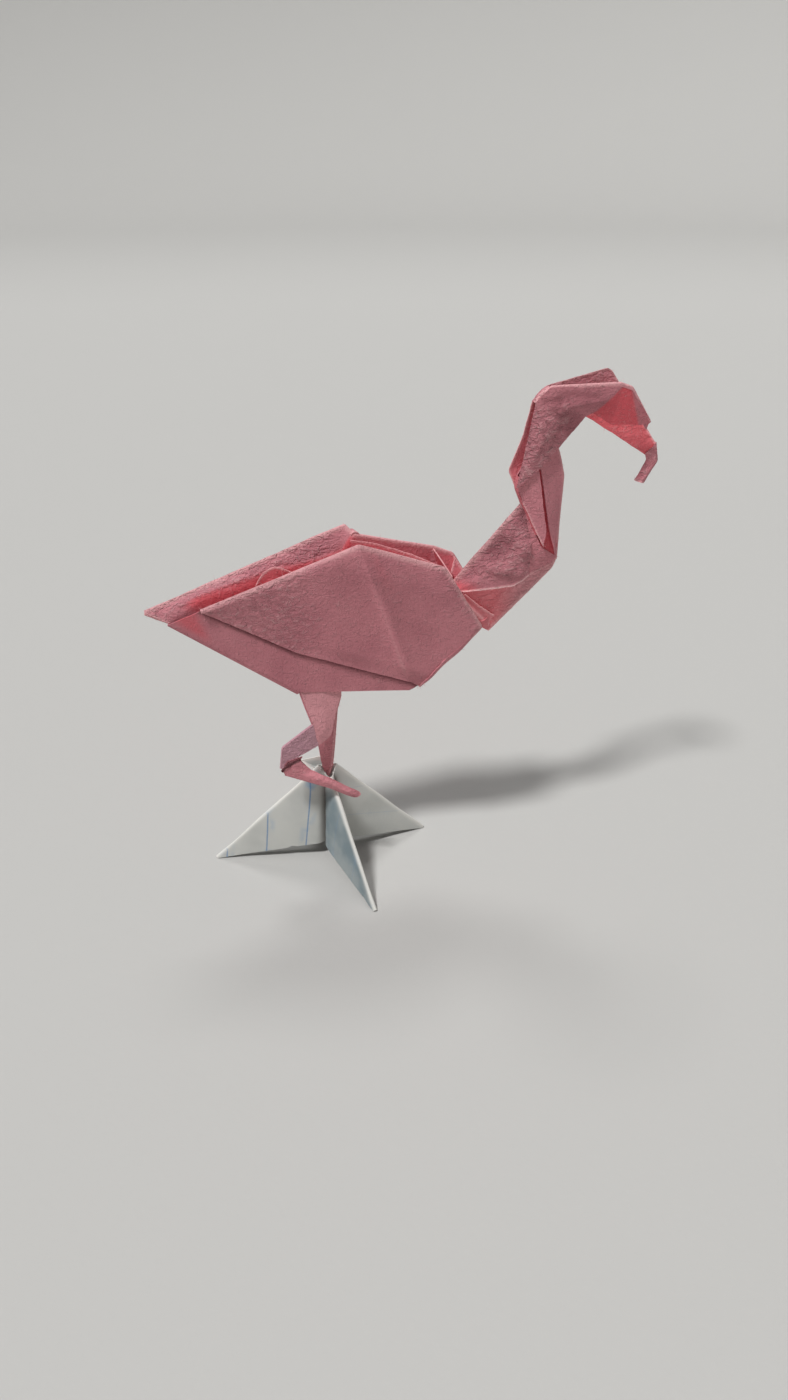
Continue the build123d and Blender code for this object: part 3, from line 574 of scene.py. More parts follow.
def lower_neck(sheet):
    """An upper layer folded over the crest, whose raw lip hangs over a second layer round the throat."""
    lip = [(23.4, 48.6, 1.9), (29.4, 48.8, 2.1), (31.7, 48.9, 2.15), (33.0, 49.7, 2.3),
           (34.2, 50.3, 1.85), (37.9, 51.3, 0.9)]
    crest = [(21.5, 48.7, 0.35), (25.6, 53.3, 0.35), (29.4, 57.5, 0.35), (31.3, 59.7, 0.35),
             (33.3, 61.9, 0.35)]
    middle = [(22.3, 48.9, 1.6), (27.6, 51.1, 2.0), (30.9, 53.0, 2.15), (32.6, 54.4, 2.0),
              (34.3, 55.8, 1.75)]
    fold = joined(crest, 1, 8)
    pinched = dents([((33.0, 59.6), (33.4, 57.8), 1.0, -0.3), ((28.3, 54.0), (30.8, 56.4), 1.4, -0.6),
                     ((31.2, 57.0), (33.6, 54.4), 0.9, 0.5), ((28.0, 52.2), (32.2, 51.2), 0.9, 0.45),
                     ((25.4, 51.0), (27.4, 50.8), 1.0, -0.3)])

    def crinkle(grid):
        """The upper layer is wrinkled above its lip."""
        return step(grid[..., 2], 48.6, 51.6)

    def glow(grid):
        """Light comes through at the root."""
        return 0.8 * step(grid[..., 0], 28.0, 23.0) * step(grid[..., 2], 51.2, 48.8)

    def shade(grid):
        """Painted shade: the upper layer is a little darker all over, with a painted shadow under the nape
        and painted shade in its deepest dent, and a painted highlight along its lip.
        """
        under_nape = 0.36 * beside(grid, [(33.2, 61.0), (34.6, 57.4)], 1.7)
        dent = 0.3 * beside(grid, [(28.8, 54.2), (30.8, 56.2)], 2.0)
        return 0.2 + under_nape + dent - 1.1 * beside(grid, np.array(lip)[:, :2], 0.5)

    sheet.patch([*mirrored([lip[:5], middle], RIGHT), *fold, *mirrored([middle, lip[:5]], LEFT)],
                folds=[fold[4]], wear_and_highlight_width=0.75, raw="first last start", sway=0.12, crinkle=crinkle, glow=glow,
                shade=shade, relief=pinched)
    # On each side: the joint with the middle neck, the throat's root, the two layers at its foot and the
    # small corner under them. The last three are paler, a painted highlight
    throat = [(28.3, 40.5, 0.35), (30.6, 42.8, 0.35), (34.6, 46.7, 0.35), (38.6, 50.7, 0.35),
              (39.3, 52.5, 0.35)]
    tucked = [(21.6, 47.9, 1.4), (25.5, 48.9, 1.6), (30.0, 49.3, 1.75), (34.2, 50.2, 1.45),
              (38.2, 52.0, 0.5)]
    for side in (RIGHT, LEFT):
        elbow = [[crest[-1], (36.1, 54.9, 1.55), (39.3, 52.6, 0.4)],
                 [middle[-1], (36.0, 53.2, 1.8), (38.6, 52.0, 0.8)], [lip[4], (35.9, 50.8, 1.4), lip[5]]]
        sheet.patch(mirrored(elbow, side), raw="last", glow=0.15, crinkle=0.6)
        root = [[tucked[0], (21.8, 45.0, 1.3)], [(24.6, 46.0, 1.3), (28.3, 40.5, 0.45)]]
        sheet.patch(mirrored(root, side), glow=0.6, crinkle=0.5, shade=-0.3)
        layer = [[(23.6, 48.3, 1.95), (26.2, 45.8, 1.85), (29.0, 43.6, 1.2)],
                 [(23.3, 47.7, 1.6), (25.5, 45.2, 1.45), (28.4, 42.5, 0.95)],
                 [(23.0, 47.9, 1.95), (25.0, 45.2, 1.9), (28.2, 41.9, 1.05)],
                 [(22.6, 47.6, 1.6), (24.4, 45.0, 1.6), (28.2, 40.9, 0.7)]]
        sheet.patch(mirrored(layer, side), folds=[mirrored(layer[2], side)], wear_and_highlight_width=0.3, raw="first",
                    glow=0.5, shade=-0.3, cell=0.3)
        corner = [[(26.6, 42.9, 1.3), (27.2, 43.0, 1.45), (27.7, 43.4, 1.3)],
                  [(27.2, 41.8, 0.95), (27.8, 42.0, 1.15), (28.2, 42.5, 1.0)],
                  [(27.8, 40.9, 0.6), (28.2, 40.9, 0.7), (28.6, 41.4, 0.65)]]
        sheet.patch(mirrored(corner, side, 0.1), cut="first start", sway=0.1, crinkle=0.6, glow=0.5,
                    shade=-0.2, cell=0.2)

    def backlit(grid):
        """More light comes through the throat towards its root."""
        return 0.5 * step(grid[..., 0], 34.5, 28.5) + 0.15

    flutes = dents([((30.6, 48.6), (28.6, 43.6), 0.6, 0.2), ((33.6, 49.2), (32.6, 46.0), 0.8, -0.2)])
    fold = joined(throat, -1)
    # The throat is paler, a painted highlight
    sheet.patch([mirrored(tucked, RIGHT), *fold, mirrored(tucked, LEFT)], folds=[fold[3]], wear_and_highlight_width=0.8,
                raw="start", glow=backlit, crinkle=0.8, shade=-0.25, relief=flutes)


def middle_neck(sheet):
    """Two panels on each side, a slit between them that opens at its foot, and the round fold in front."""
    front = [(37.9, 70.6, 0.35), (38.5, 68.9, 0.35), (39.3, 66.0, 0.35), (39.25, 62.0, 0.35),
             (39.2, 57.5, 0.35), (39.3, 52.0, 0.3)]
    edge = [(34.7, 69.2, 1.2), (35.3, 67.3, 1.3), (36.1, 63.6, 1.35), (36.8, 60.3, 1.35), (37.4, 57.6, 1.35),
            (38.45, 54.6, 1.25)]
    fold = joined(front, 1)
    sheet.patch([mirrored(edge, RIGHT), *fold, mirrored(edge, LEFT)], folds=[fold[3]], wear_and_highlight_width=0.5,
                cut="first last", crinkle=0.15)
    slit = [(34.3, 69.2, 1.45), (34.9, 67.3, 1.7), (35.6, 63.6, 1.75), (36.2, 60.3, 1.8),
            (36.75, 57.6, 1.85), (36.4, 55.3, 1.85)]
    nape = [(32.2, 66.3, 0.7), (31.95, 64.5, 0.75), (32.9, 62.2, 0.75), (34.0, 59.9, 1.1),
            (35.3, 57.1, 1.62), (36.3, 55.15, 1.9)]
    # The inside of each slit is lit through and darkened by painted shade
    inside = [[(34.6, 69.0, 0.9), (36.0, 63.0, 0.9), (36.5, 58.0, 0.9), (36.0, 55.0, 1.15),
               (36.4, 52.8, 1.1)],
              [(35.7, 69.0, 0.8), (37.4, 63.0, 0.8), (38.3, 58.0, 0.8), (39.2, 54.4, 0.5),
               (38.8, 52.6, 0.4)]]
    for side in (RIGHT, LEFT):
        sheet.patch(mirrored([slit, nape], side), folds=[mirrored(nape[2:], side)], wear_and_highlight_width=0.25,
                    cut="first last", crinkle=0.15)
        sheet.patch(mirrored(inside, side), glow=1.0, shade=0.35, cell=0.35)
    # The nape is closed by a flat fold between the two sides
    sheet.patch(joined(nape[:5], -1, 4, 0.2), glow=0.45, cell=0.3)


def head(sheet):
    """The upper neck and the head, a trough open along the top. Its left side runs on into the beak."""
    foot, peak, jaw = (31.5, 64.8, 1.15), (33.9, 77.7, 0.7), (42.2, 75.1, 0.5)
    brow = [(46.6, 80.0, 2.2), (48.5, 79.3, 2.2)]
    upper = [foot, (32.5, 70.0, 1.0), peak, (36.0, 79.8, 0.7), *brow, (52.6, 73.8, 1.4)]
    middle = [foot, (33.8, 70.0, 2.0), (35.6, 73.6, 1.9), (38.6, 77.0, 1.6), (44.8, 77.8, 2.1),
              (47.4, 76.6, 1.9), (52.4, 73.6, 1.4)]
    under = [foot, (34.6, 67.8, 2.05), (37.9, 70.6, 1.0), jaw, (43.0, 75.7, 1.2), (46.1, 73.8, 1.4),
             (52.2, 73.4, 1.4)]
    groove = [(35.3, 77.7), (37.6, 77.9)]
    pinched = dents([(*groove, 0.5, -0.3), ((36.6, 77.2), (39.6, 76.4), 0.9, 0.25),
                     ((38.0, 78.4), (43.0, 78.1), 0.7, -0.2), ((36.4, 76.0), (38.4, 73.6), 0.9, -0.3),
                     ((34.6, 74.6), (33.4, 69.6), 0.9, 0.25)])

    def wrinkled(grid):
        """The near side is most wrinkled on the upper neck."""
        return 0.25 + 1.05 * step(grid[..., 2], 79.0, 75.0) * step(grid[..., 0], 42.0, 37.0)

    def backlit(grid):
        """Light comes through one layer of the near side, most between two slanting lines."""
        start = step(grid[..., 0] - (grid[..., 2] - 75.3) * 0.99, 42.4, 42.9)
        stop = step(grid[..., 0] - (79.3 - grid[..., 2]) * 0.386, 47.9, 48.6)
        return start * (1 - 0.75 * stop)

    def hollow(grid):
        """Painted shade on the near side: a little all over, more in its hollows, along its brow and in its
        groove, and where it is lit through, more where a second layer lies behind the lit one.
        """
        plain = (0.16 + 0.28 * beside(grid, [(37.4, 77.2), (40.2, 73.6)], 2.8)
                 + 0.2 * beside(grid, [(39.0, 78.4), (44.6, 77.6)], 1.8) + 0.2 * beside(grid, groove, 0.8))
        lit = step(backlit(grid), 0.1, 0.4)
        doubled = step(grid[..., 0] - (grid[..., 2] - 76.0) * 0.2, 46.6, 46.1)
        return plain * (1 - lit) + (0.12 + 0.16 * doubled) * lit

    sheet.patch(mirrored([upper, middle, under], RIGHT), cut="last end", sway=0.1, crinkle=wrinkled,
                glow=backlit, shade=hollow, relief=pinched)
    # The near brow is folded over: a round ridge with a narrow flap inside
    ridge = mirrored([(35.2, 79.0, 0.7), (36.3, 79.75, 0.75), *brow, (52.4, 74.0, 1.45)], RIGHT)
    inner = ridge + np.array([0.3, 0.45, 0.45, 0.4, 0.1])[:, None] * [0, 1, 0]
    fold = half_round(ridge, inner, square_to(ridge, 1), 6)
    sheet.patch([ridge - [0, 0, 0.3], ridge, *fold, inner, inner + [-0.3, 0.15, -1.5]],
                folds=[fold[2]], wear_and_highlight_width=0.5, sway=0.0, cell=0.3)
    # The far side runs on into the beak, and below the near one's brow it is lit through and paler, a
    # painted highlight
    crown = [peak, upper[3], (46.3, 81.4, 2.2), (47.0, 81.0, 2.2), (48.3, 79.2, 2.2), (55.1, 69.4, 0.4)]
    cheek = [(37.9, 70.6, 0.9), jaw, (45.0, 73.3, 1.4), (47.5, 71.7, 1.3), (50.0, 70.1, 1.1),
             (53.9, 67.6, 0.1)]

    def below_brow(grid):
        return step(grid[..., 2], 76.8, 75.8)

    far = mirrored([crown, cheek], LEFT)
    sheet.patch(far, folds=[far[0]], wear_and_highlight_width=0.3, raw="first", cut="last", sway=0.1, crinkle=0.5,
                glow=below_brow, shade=lambda grid: -0.16 * below_brow(grid))
    nape = [[peak, (33.0, 72.0, 1.5), (31.2, 66.7, 2.0), (32.3, 63.8, 1.15)],
            [(34.9, 76.5, 1.0), (35.6, 72.5, 1.4), (35.0, 68.5, 1.8), (34.6, 67.0, 2.05)]]
    side = mirrored(nape, LEFT)
    sheet.patch(side, folds=[side[0]], wear_and_highlight_width=0.25, raw="first", glow=0.5)
    sheet.patch(mirrored([nape[1][::3], cheek[1::-1]], LEFT))
    back = [(33.9, 77.6, 0.6), (34.6, 78.5, 0.6), (35.3, 79.2, 0.6), (36.1, 79.7, 0.6)]
    fold = joined(back, 1, 6, [0.1, 0.35, 0.35, 0.2])
    sheet.patch([fold[0] + [0.5, 0.05, -0.5], *fold], folds=[fold[1]], wear_and_highlight_width=0.4, crinkle=0.6, sway=0.0,
                cell=0.25)
    # The beak's tip bends down, and is creased, with painted shade beside its front edge
    beak = np.array([[(53.1, 0.05, 68.3), (54.3, 0.2, 69.2), (54.9, 0.42, 69.9)],
                     [(53.5, 0.2, 67.3), (54.9, -0.35, 67.0), (55.45, 0.3, 66.9)],
                     [(52.0, 0.4, 64.0), (52.9, -0.25, 63.6), (53.45, 0.1, 63.5)]])
    sheet.patch(beak, raw="last", cut="start end", glow=0.15, crinkle=0.8, cell=0.2,
                shade=lambda grid: 0.35 * step(grid[..., 1], -0.15, 0.15) * (grid[..., 2] < 67.3))


def leg_rows(rows, out):
    """Rows of side view places with the distance to the bird's right, put on one layer of a leg."""
    return mirrored(rows, RIGHT) + [0, out, 0]


def bent_leg(sheet):
    """Thigh, shin folded back and foot folded forward, each flattened to two layers."""
    thigh = [[(-3.5, 37.5, 0.45), (0.0, 37.5, 0.5), (3.3, 37.5, 0.45)],
             [(-3.5, 33.5, 0.45), (0.0, 32.8, 0.75), (3.3, 32.0, 0.45)],
             [(-2.7, 30.5, 0.8), (0.3, 29.8, 1.15), (2.3, 29.1, 0.9)],
             [(-1.7, 27.2, 1.45), (0.2, 26.2, 1.75), (1.2, 24.7, 1.45)],
             [(-1.5, 25.6, 1.45), (-1.2, 24.3, 1.5), (-0.9, 23.2, 1.45)]]
    shin = [[thigh[3][0], thigh[4][2]], [(-7.1, 24.3, 2.7), (-4.9, 22.1, 2.7)],
            [(-7.6, 20.4, 2.8), (-7.2, 20.6, 2.8)]]
    foot = [[shin[1][1], (-6.2, 21.3, 2.9), (-7.6, 20.4, 2.7)],
            [(-2.6, 19.2, 3.0), (-4.8, 19.2, 3.2), (-7.0, 19.0, 2.7)],
            [(0.2, 18.0, 4.2), (0.2, 17.1, 4.5), (0.2, 16.2, 4.2)],
            [(3.4, 15.9, 4.8), (3.3, 15.2, 5.05), (3.2, 14.5, 4.7)],
            [(4.9, 14.95, 4.9), (4.6, 14.4, 5.0), (4.3, 14.0, 4.85)],
            [(5.35, 14.45, 4.85), (5.2, 14.2, 4.9), (4.9, 14.0, 4.85)]]
    # The thigh and the foot are paler, a painted highlight
    for layer in (-1, 1):
        out = layer * LAYER_STEP / 2
        sheet.patch(leg_rows(thigh, out), cut="end", sway=0.08, shade=-0.3)
        sheet.patch(leg_rows(shin, out), cut="end", glow=-0.6, crinkle=0.6)
        sheet.patch(leg_rows(foot, out), cut="start", raw="last", glow=0.12, crinkle=0.4, shade=-0.12,
                    cell=0.3)
    # Each stretch has its fold behind, and the foot has it below
    backs = [[row[0] for row in thigh[:4]], [row[0] for row in shin], [row[2] for row in foot[1:]]]
    for back, tone in zip(backs, (0.0, -0.6, 0.12)):
        right, left = [leg_rows(back, layer * LAYER_STEP / 2) for layer in (-1, 1)]
        fold = half_round(right, left, square_to(right, -1), 4)
        sheet.patch([right, *fold, left], glow=tone, sway=0, cell=0.3)
    # The knee fold is rough: its paper is torn into short layers, darkened with painted shade
    for strip in range(4):
        lift = 0.4 * strip
        knee = [[(-7.7 + 0.3 * strip, -2.95 - 0.12 * strip, 20.0 + lift), (-6.5, -3.25, 21.0 + 0.6 * lift),
                 (-4.6 + 0.2 * strip, -3.05, 22.2)],
                [(-7.4, -2.8, 19.5 + lift), (-6.0, -2.95, 20.4 + 0.5 * lift), (-4.3, -2.9, 21.6)]]
        sheet.patch(knee, cut="first last start end", sway=0.3, crinkle=1.8, shade=0.9 - 0.2 * strip,
                    cell=0.2)


# The straight leg's heights at the belly and in the socket, and how far its top lies to the left
LEG_TOP = 37.5
TOE = 15.6
LEG_LEAN = 0.45


def straight_leg(sheet):
    """The left leg: two layers that taper down into the stand's socket, folded along the front."""
    rows = [[(-3.2, LEG_TOP), (3.3, LEG_TOP)], [(-3.2, 33.0), (3.3, 31.0)], [(-2.0, 27.5), (2.6, 28.6)],
            [(-0.8, 22.1), (1.9, 21.5)], [(-0.2, 17.7), (1.45, 17.7)], [(0.35, TOE), (0.8, TOE)]]
    edges = {}
    for layer in (-1, 1):
        net = [[(x, LEG_LEAN * (z - TOE) / (LEG_TOP - TOE) + layer * LAYER_STEP / 2, z) for x, z in row]
               for row in rows]
        edges[layer] = np.array([row[1] for row in net])
        sheet.patch(net, folds=[edges[layer]], wear_and_highlight_width=0.3, cut="start", crinkle=0.3, glow=0.1)
    fold = half_round(edges[-1], edges[1], square_to(edges[-1], 1), 4)
    sheet.patch([edges[-1], *fold, edges[1]], folds=[fold[1]], wear_and_highlight_width=0.3, sway=0, cell=0.3)


# The stand

# The stand's middle along x, half the side of its flat sheet, the height of its socket's rim, and the angle
# at which the rim dips
STAND_X = 0.7
HALF_SHEET = 19.0
RIM_HEIGHT = 17.6
FRONT_ANGLE = -78
FRONT_DIP = 1.5
# Each fin's name, angle, reach and corner of the sheet
FINS = [("right", 5, 17.5, (1, 1)), ("back", 98, 18.7, (-1, 1)), ("left", 174.5, 20.1, (-1, -1)),
        ("front", FRONT_ANGLE, 18.8, (1, -1))]
# The radius of the socket at its rim and at the top of a ridge, half the ridge's width, the height of the
# ridge's foot, and the radius and height of a valley's foot
SOCKET_RADIUS = 1.15
RIDGE_RADIUS = 1.35
HALF_RIDGE = 0.275
RIDGE_FOOT = 0.05
VALLEY_FOOT = (2.4, 2.6)
# The lip's places by angle, radius and height above the rim
LIP = [(164, 2.2, -0.9), (155, 3.8, -0.5), (149, 5.0, 0.2), (128, 1.9, 1.2), (80, 1.3, 0.5)]
# How strongly the rules show on each fin
INK = {"right": 0.15, "back": 0.8, "left": 1.0, "front": 0.2}


def polar(angle, radius, height):
    """A point of the stand, by its angle in degrees round the socket."""
    turn = radians(angle)
    return np.array([STAND_X + radius * np.cos(turn), radius * np.sin(turn), height])


def rim_height(angle):
    """The height of the socket's rim at an angle: it dips over the front fin."""
    return RIM_HEIGHT - FRONT_DIP * max(0, np.cos(radians(angle - FRONT_ANGLE))) ** 2


def across(angle):
    """The direction square to a fin, towards greater angles."""
    turn = radians(angle)
    return np.array([-np.sin(turn), np.cos(turn), 0])


def fin_side(fin, neighbour, hand):
    """One face of a fin: three rows, in the bottom of the valley, beside it and along the ridge, each from
    the socket to the foot. The place on the flat sheet is written after each place, so that the rules run
    on across the folds. hand is 1 for the face towards greater angles."""
    (angle, reach, corner), (other_angle, _, other_corner) = fin[1:], neighbour[1:]
    gap = (other_angle - angle) * hand % 360 * hand
    middle = angle + gap / 2
    half_way = [(a + b) / 2 for a, b in zip(corner, other_corner)]
    aside = hand * across(angle) * HALF_RIDGE
    line = np.array([[*polar(middle, SOCKET_RADIUS, rim_height(middle) - 0.2), 0, 0],
                     [*polar(middle, *VALLEY_FOOT), *[HALF_SHEET * c for c in half_way]]])
    ridge = np.array([[*(polar(angle, RIDGE_RADIUS, rim_height(angle)) + aside), 0, 0],
                      [*(polar(angle, reach, RIDGE_FOOT) + aside), *[HALF_SHEET * c for c in corner]]])
    outward = [*unit(polar(middle, 1, 0) - polar(0, 0, 0)), 0, 0]
    bottom = line - np.array([[0.25], [0.8]]) * outward
    return bottom, line + (ridge - line) * [[0.3], [0.045]], ridge


def notched(grid):
    """A shallow tear in the left fin's near face, where its lower edge rises."""
    shift = np.zeros_like(grid)
    tear = np.clip(1 - np.abs(grid[..., 0] + 6.3) / 1.0, 0, 1) * (grid[..., 1] < 0.3)
    shift[..., 2] = 0.6 * tear * step(grid[..., 2], 4.0, 0.0)
    return shift


def painted_cool_shade(grid):
    """Bluish painted shade on the front fin's left face below the socket, a face that lies in shade."""
    left_face = step(grid[..., 0] + 0.21 * grid[..., 1], STAND_X + 0.25, STAND_X - 0.25)
    return left_face * step(grid[..., 2], 17.0, 12.0)


def stand_sheet():
    """Four fins round a socket. Each has a round ridge, and its two faces run down to the valleys."""
    sheet = Folded(STAND_PAPER)
    for i, fin in enumerate(FINS):
        name, angle = fin[:2]
        sides = [fin_side(fin, FINS[i - 1], -1), fin_side(fin, FINS[(i + 1) % len(FINS)], 1)]
        first, second = sides[0][2], sides[1][2]
        upward = np.cross(unit(first[1, :3] - first[0, :3]), across(angle))
        upward = upward if upward[2] > 0 else -upward
        fold = half_round(first[:, :3], second[:, :3], upward)
        flat = [np.column_stack([row, first[:, 3:]]) for row in fold]

        # Painted shade darkens the valleys below the socket, and each ridge is pale, rubbed and a painted
        # highlight
        def valley_shade(grid):
            nearest = np.minimum(*[distance(grid, side[0][:, :3]) for side in sides])
            return bell(nearest, 0.95) * step(grid[..., 2], 17.0, 15.0)

        sheet.patch([*sides[0], *flat, *sides[1][::-1]], folds=[fold[2]], wear_and_highlight_width=0.5, cut="end", sway=0.16,
                    cell=0.5, glow=INK[name], crinkle=painted_cool_shade if name == "front" else 0.0,
                    shade=valley_shade, relief=notched if name == "left" else None)
    # The socket: the rim turns in and the paper runs down to a point. The rim bulges out at each ridge
    rim = []
    for angle in np.arange(0, 361, 7.5):
        nearest = min(abs((angle - fin[1] + 180) % 360 - 180) for fin in FINS)
        radius = SOCKET_RADIUS + 0.3 * bell(nearest, 12.0)
        rim.append(polar(angle, radius, rim_height(angle) - 0.2 * min(nearest / 20, 1)))
    rim = np.array(rim)
    centre = np.array([STAND_X, 0, RIM_HEIGHT - 4.5])
    deep = [rim + (centre - rim) * share for share in (0.0, 0.12, 0.45, 1.0)]
    sheet.patch(deep, folds=[rim], sway=0.0, cell=0.4)
    # The back of the rim is pulled out into a lip, like the mouth of a jug. Its hollow has a bluish painted
    # shade, and its raw edge is pale, rubbed and a painted highlight
    root = polar(100, 0.95, RIM_HEIGHT - 1.4)
    mouth = np.array([polar(angle, reach, RIM_HEIGHT + rise) for angle, reach, rise in LIP])
    hollow = (mouth + root) / 2 - np.array([0.1, 0.35, 0.45, 0.3, 0.0])[:, None] * [-0.3, -0.5, 0.8]
    sheet.patch([[root] * len(LIP), hollow, mouth], folds=[mouth], wear_and_highlight_width=0.6, raw="last", sway=0.04,
                glow=0.3, crinkle=0.45, cell=0.25)
    return sheet


# Materials

class Value:
    """A number that varies over a surface: a shader socket whose arithmetic adds Math nodes."""

    def __init__(self, shader, socket):
        self.shader = shader
        self.socket = socket

    def math(self, operation, other, first=False):
        values = {0: other, 1: self} if first else {0: self, 1: other}
        return self.shader.value("ShaderNodeMath", {"operation": operation}, values)

    def __add__(self, other):
        return self.math("ADD", other)

    def __sub__(self, other):
        return self.math("SUBTRACT", other)

    def __rsub__(self, other):
        return self.math("SUBTRACT", other, True)

    def __mul__(self, other):
        return self.math("MULTIPLY", other)

    __radd__ = __add__
    __rmul__ = __mul__

    def between(self, low, high):
        """A smooth step: 0 at low, 1 at high."""
        settings = {"interpolation_type": "SMOOTHSTEP"}
        inputs = {"Value": self, "From Min": low, "From Max": high}
        return self.shader.value("ShaderNodeMapRange", settings, inputs)


class Shader:
    """A material with one Principled shader, and one method that adds any other node."""

    def __init__(self, name):
        self.material = bpy.data.materials.new(name)
        self.material.use_nodes = True
        self.tree = self.material.node_tree
        self.principled = self.tree.nodes["Principled BSDF"]

    def node(self, kind, settings, inputs):
        """A node of one kind, with its settings made first, and then values or links on its sockets."""
        node = self.tree.nodes.new(kind)
        for name, setting in settings.items():
            setattr(node, name, setting)
        for name, value in inputs.items():
            self.feed(node.inputs[name], value)
        return node

    def feed(self, socket, value):
        if isinstance(value, Value):
            self.tree.links.new(value.socket, socket)
        else:
            socket.default_value = value

    def value(self, kind, settings, inputs, output=0):
        return Value(self, self.node(kind, settings, inputs).outputs[output])

    def mark(self, name):
        """A mark that the mesh carries, one of MARKS: rubbed paper with a painted highlight, wrinkles, light
        painted as coming through, and painted shade.
        """
        return self.value("ShaderNodeAttribute", {"attribute_name": name}, {}, "Fac")

    def places(self, scale, turn):
        """Object coordinates, stretched and turned."""
        source = self.value("ShaderNodeTexCoord", {}, {}, "Object")
        return self.value("ShaderNodeMapping", {}, {"Vector": source, "Scale": scale, "Rotation": turn})

    def noise(self, scale, detail=2.0, roughness=0.5, distortion=0.0, stretch=(1, 1, 1), turn=(0, 0, 0)):
        """Fractal noise, evenly in all directions unless it is stretched and turned."""
        inputs = {"Vector": self.places(stretch, turn), "Scale": scale, "Detail": detail,
                  "Roughness": roughness, "Distortion": distortion}
        return self.value("ShaderNodeTexNoise", {}, inputs)

    def mix(self, share, first, second):
        """A colour between two colours."""
        inputs = {0: share, 6: first, 7: second}
        return self.value("ShaderNodeMix", {"data_type": "RGBA"}, inputs, 2)

    def layered(self, tones, layers):
        """The low body tone, with other tones laid over it in order, each by its share."""
        colour = tones["body low"]
        for share, name in layers:
            colour = self.mix(share, colour, tones[name])
        return colour

    def finish(self, colour, height, depth, roughness):
        """Puts colour, relief and roughness on the shader. depth is the relief's full height in metres."""
        bump = self.value("ShaderNodeBump", {}, {"Height": height, "Distance": depth, "Strength": 1.0})
        self.feed(self.principled.inputs["Base Color"], colour)
        self.feed(self.principled.inputs["Normal"], bump)
        self.feed(self.principled.inputs["Roughness"], roughness)
        self.principled.inputs["Specular IOR Level"].default_value = 0.3
        return self.material


def screen(red, green, blue):
    """A colour as it looks on a screen, from 0 to 255, as light for the shader."""
    parts = [c / 255 for c in (red, green, blue)]
    return (*[c / 12.92 if c < 0.04045 else ((c + 0.055) / 1.055) ** 2.4 for c in parts], 1.0)


# lit and through paint light that comes through the paper, ridge a highlight on wrinkle crests, crease
# rubbed paper and a painted highlight, pale a painted highlight and dark painted shade
PINK = {"body low": screen(202, 127, 137), "body high": screen(218, 141, 150),
        "cool": screen(196, 160, 174), "lit": screen(218, 98, 106), "felt": screen(236, 180, 184),
        "fibre": screen(246, 202, 203), "ridge": screen(244, 194, 196), "crease": screen(248, 186, 189),
        "pale": screen(255, 206, 207), "dark": screen(94, 40, 46), "through": screen(214, 62, 76)}
# cool is a bluish painted shade, crease rubbed paper and a painted highlight, and dark painted shade
WHITE = {"body low": screen(197, 198, 194), "body high": screen(213, 213, 208),
         "cool": screen(120, 136, 143), "blot": screen(142, 172, 200), "ink": screen(104, 142, 186),
         "dark": screen(112, 106, 102), "crease": screen(240, 238, 231)}
# In millimetres on the flat sheet: between two rules, how far each moves across per millimetre along the
# sheet, and how far one of them lies before the middle
RULE_SPACING = 7.1
RULE_SLANT = 0.076
RULE_START = 8.8
BLACK = (0, 0, 0, 1)


def pink_paper():
    """Soft fibrous pink paper: fine felted grain, short pale fibres, and wrinkles where it was worked, whose
    crests are lighter, a painted highlight. Its creases are pale, rubbed paper and a painted highlight.
    Where its glow is positive, light painted as coming through a single layer: the tone is redder, and a
    little light is added. Where it is negative, as on the shin, the tone is cooler. A positive shade is
    painted shade and a negative one a painted highlight."""
    shader = Shader("pink fibrous paper")
    wear_and_highlight, crinkle, glow, shade = [shader.mark(name) for name in MARKS]
    grain = shader.noise(2400.0, 4.0, 0.65)
    along = shader.noise(2200.0, 1.0, 0.5, 1.8, (0.4, 1, 1))
    upright = shader.noise(2000.0, 1.0, 0.5, 2.0, (1, 1, 0.4), (0.5, 0, 0.4))
    fleck = along.between(0.62, 0.72) + upright.between(0.63, 0.73)
    cloud = shader.noise(130.0, 4.0, 0.55)
    crumple = shader.noise(1250.0, 3.0, 0.6, 0.9, (0.55, 1, 1), (0, 0.35, 0))
    worked = (crumple - 0.5) * crinkle
    lit = glow.between(0.0, 1.0)
    # Painted light and shade among the layers: lit, ridge, crease, pale and dark
    layers = [(cloud.between(0.3, 0.7), "body high"), ((0 - glow).between(0.0, 1.0), "cool"), (lit, "lit"),
              (grain.between(0.5, 0.8) * 0.3, "felt"), (fleck * (0.08 + crinkle * 0.24), "fibre"),
              (worked.between(0.02, 0.2) * 0.4, "ridge"),
              ((wear_and_highlight * (0.5 + grain * 0.6)).between(0.05, 0.9) * 0.9, "crease"),
              ((0 - shade).between(0.0, 1.0), "pale"), (shade * 0.9, "dark")]
    height = grain * 0.8 + along * 0.5 + upright * 0.5 + worked * 7.0 + fleck * 0.4 + wear_and_highlight * grain * 0.8
    # A little painted light: the paper glows where light comes through one layer
    shader.feed(shader.principled.inputs["Emission Color"],
                shader.mix(lit * (1 - shade), BLACK, PINK["through"]))
    shader.principled.inputs["Emission Strength"].default_value = 0.12
    return shader.finish(shader.layered(PINK, layers), height, 0.00014, 0.68 + grain * 0.18)


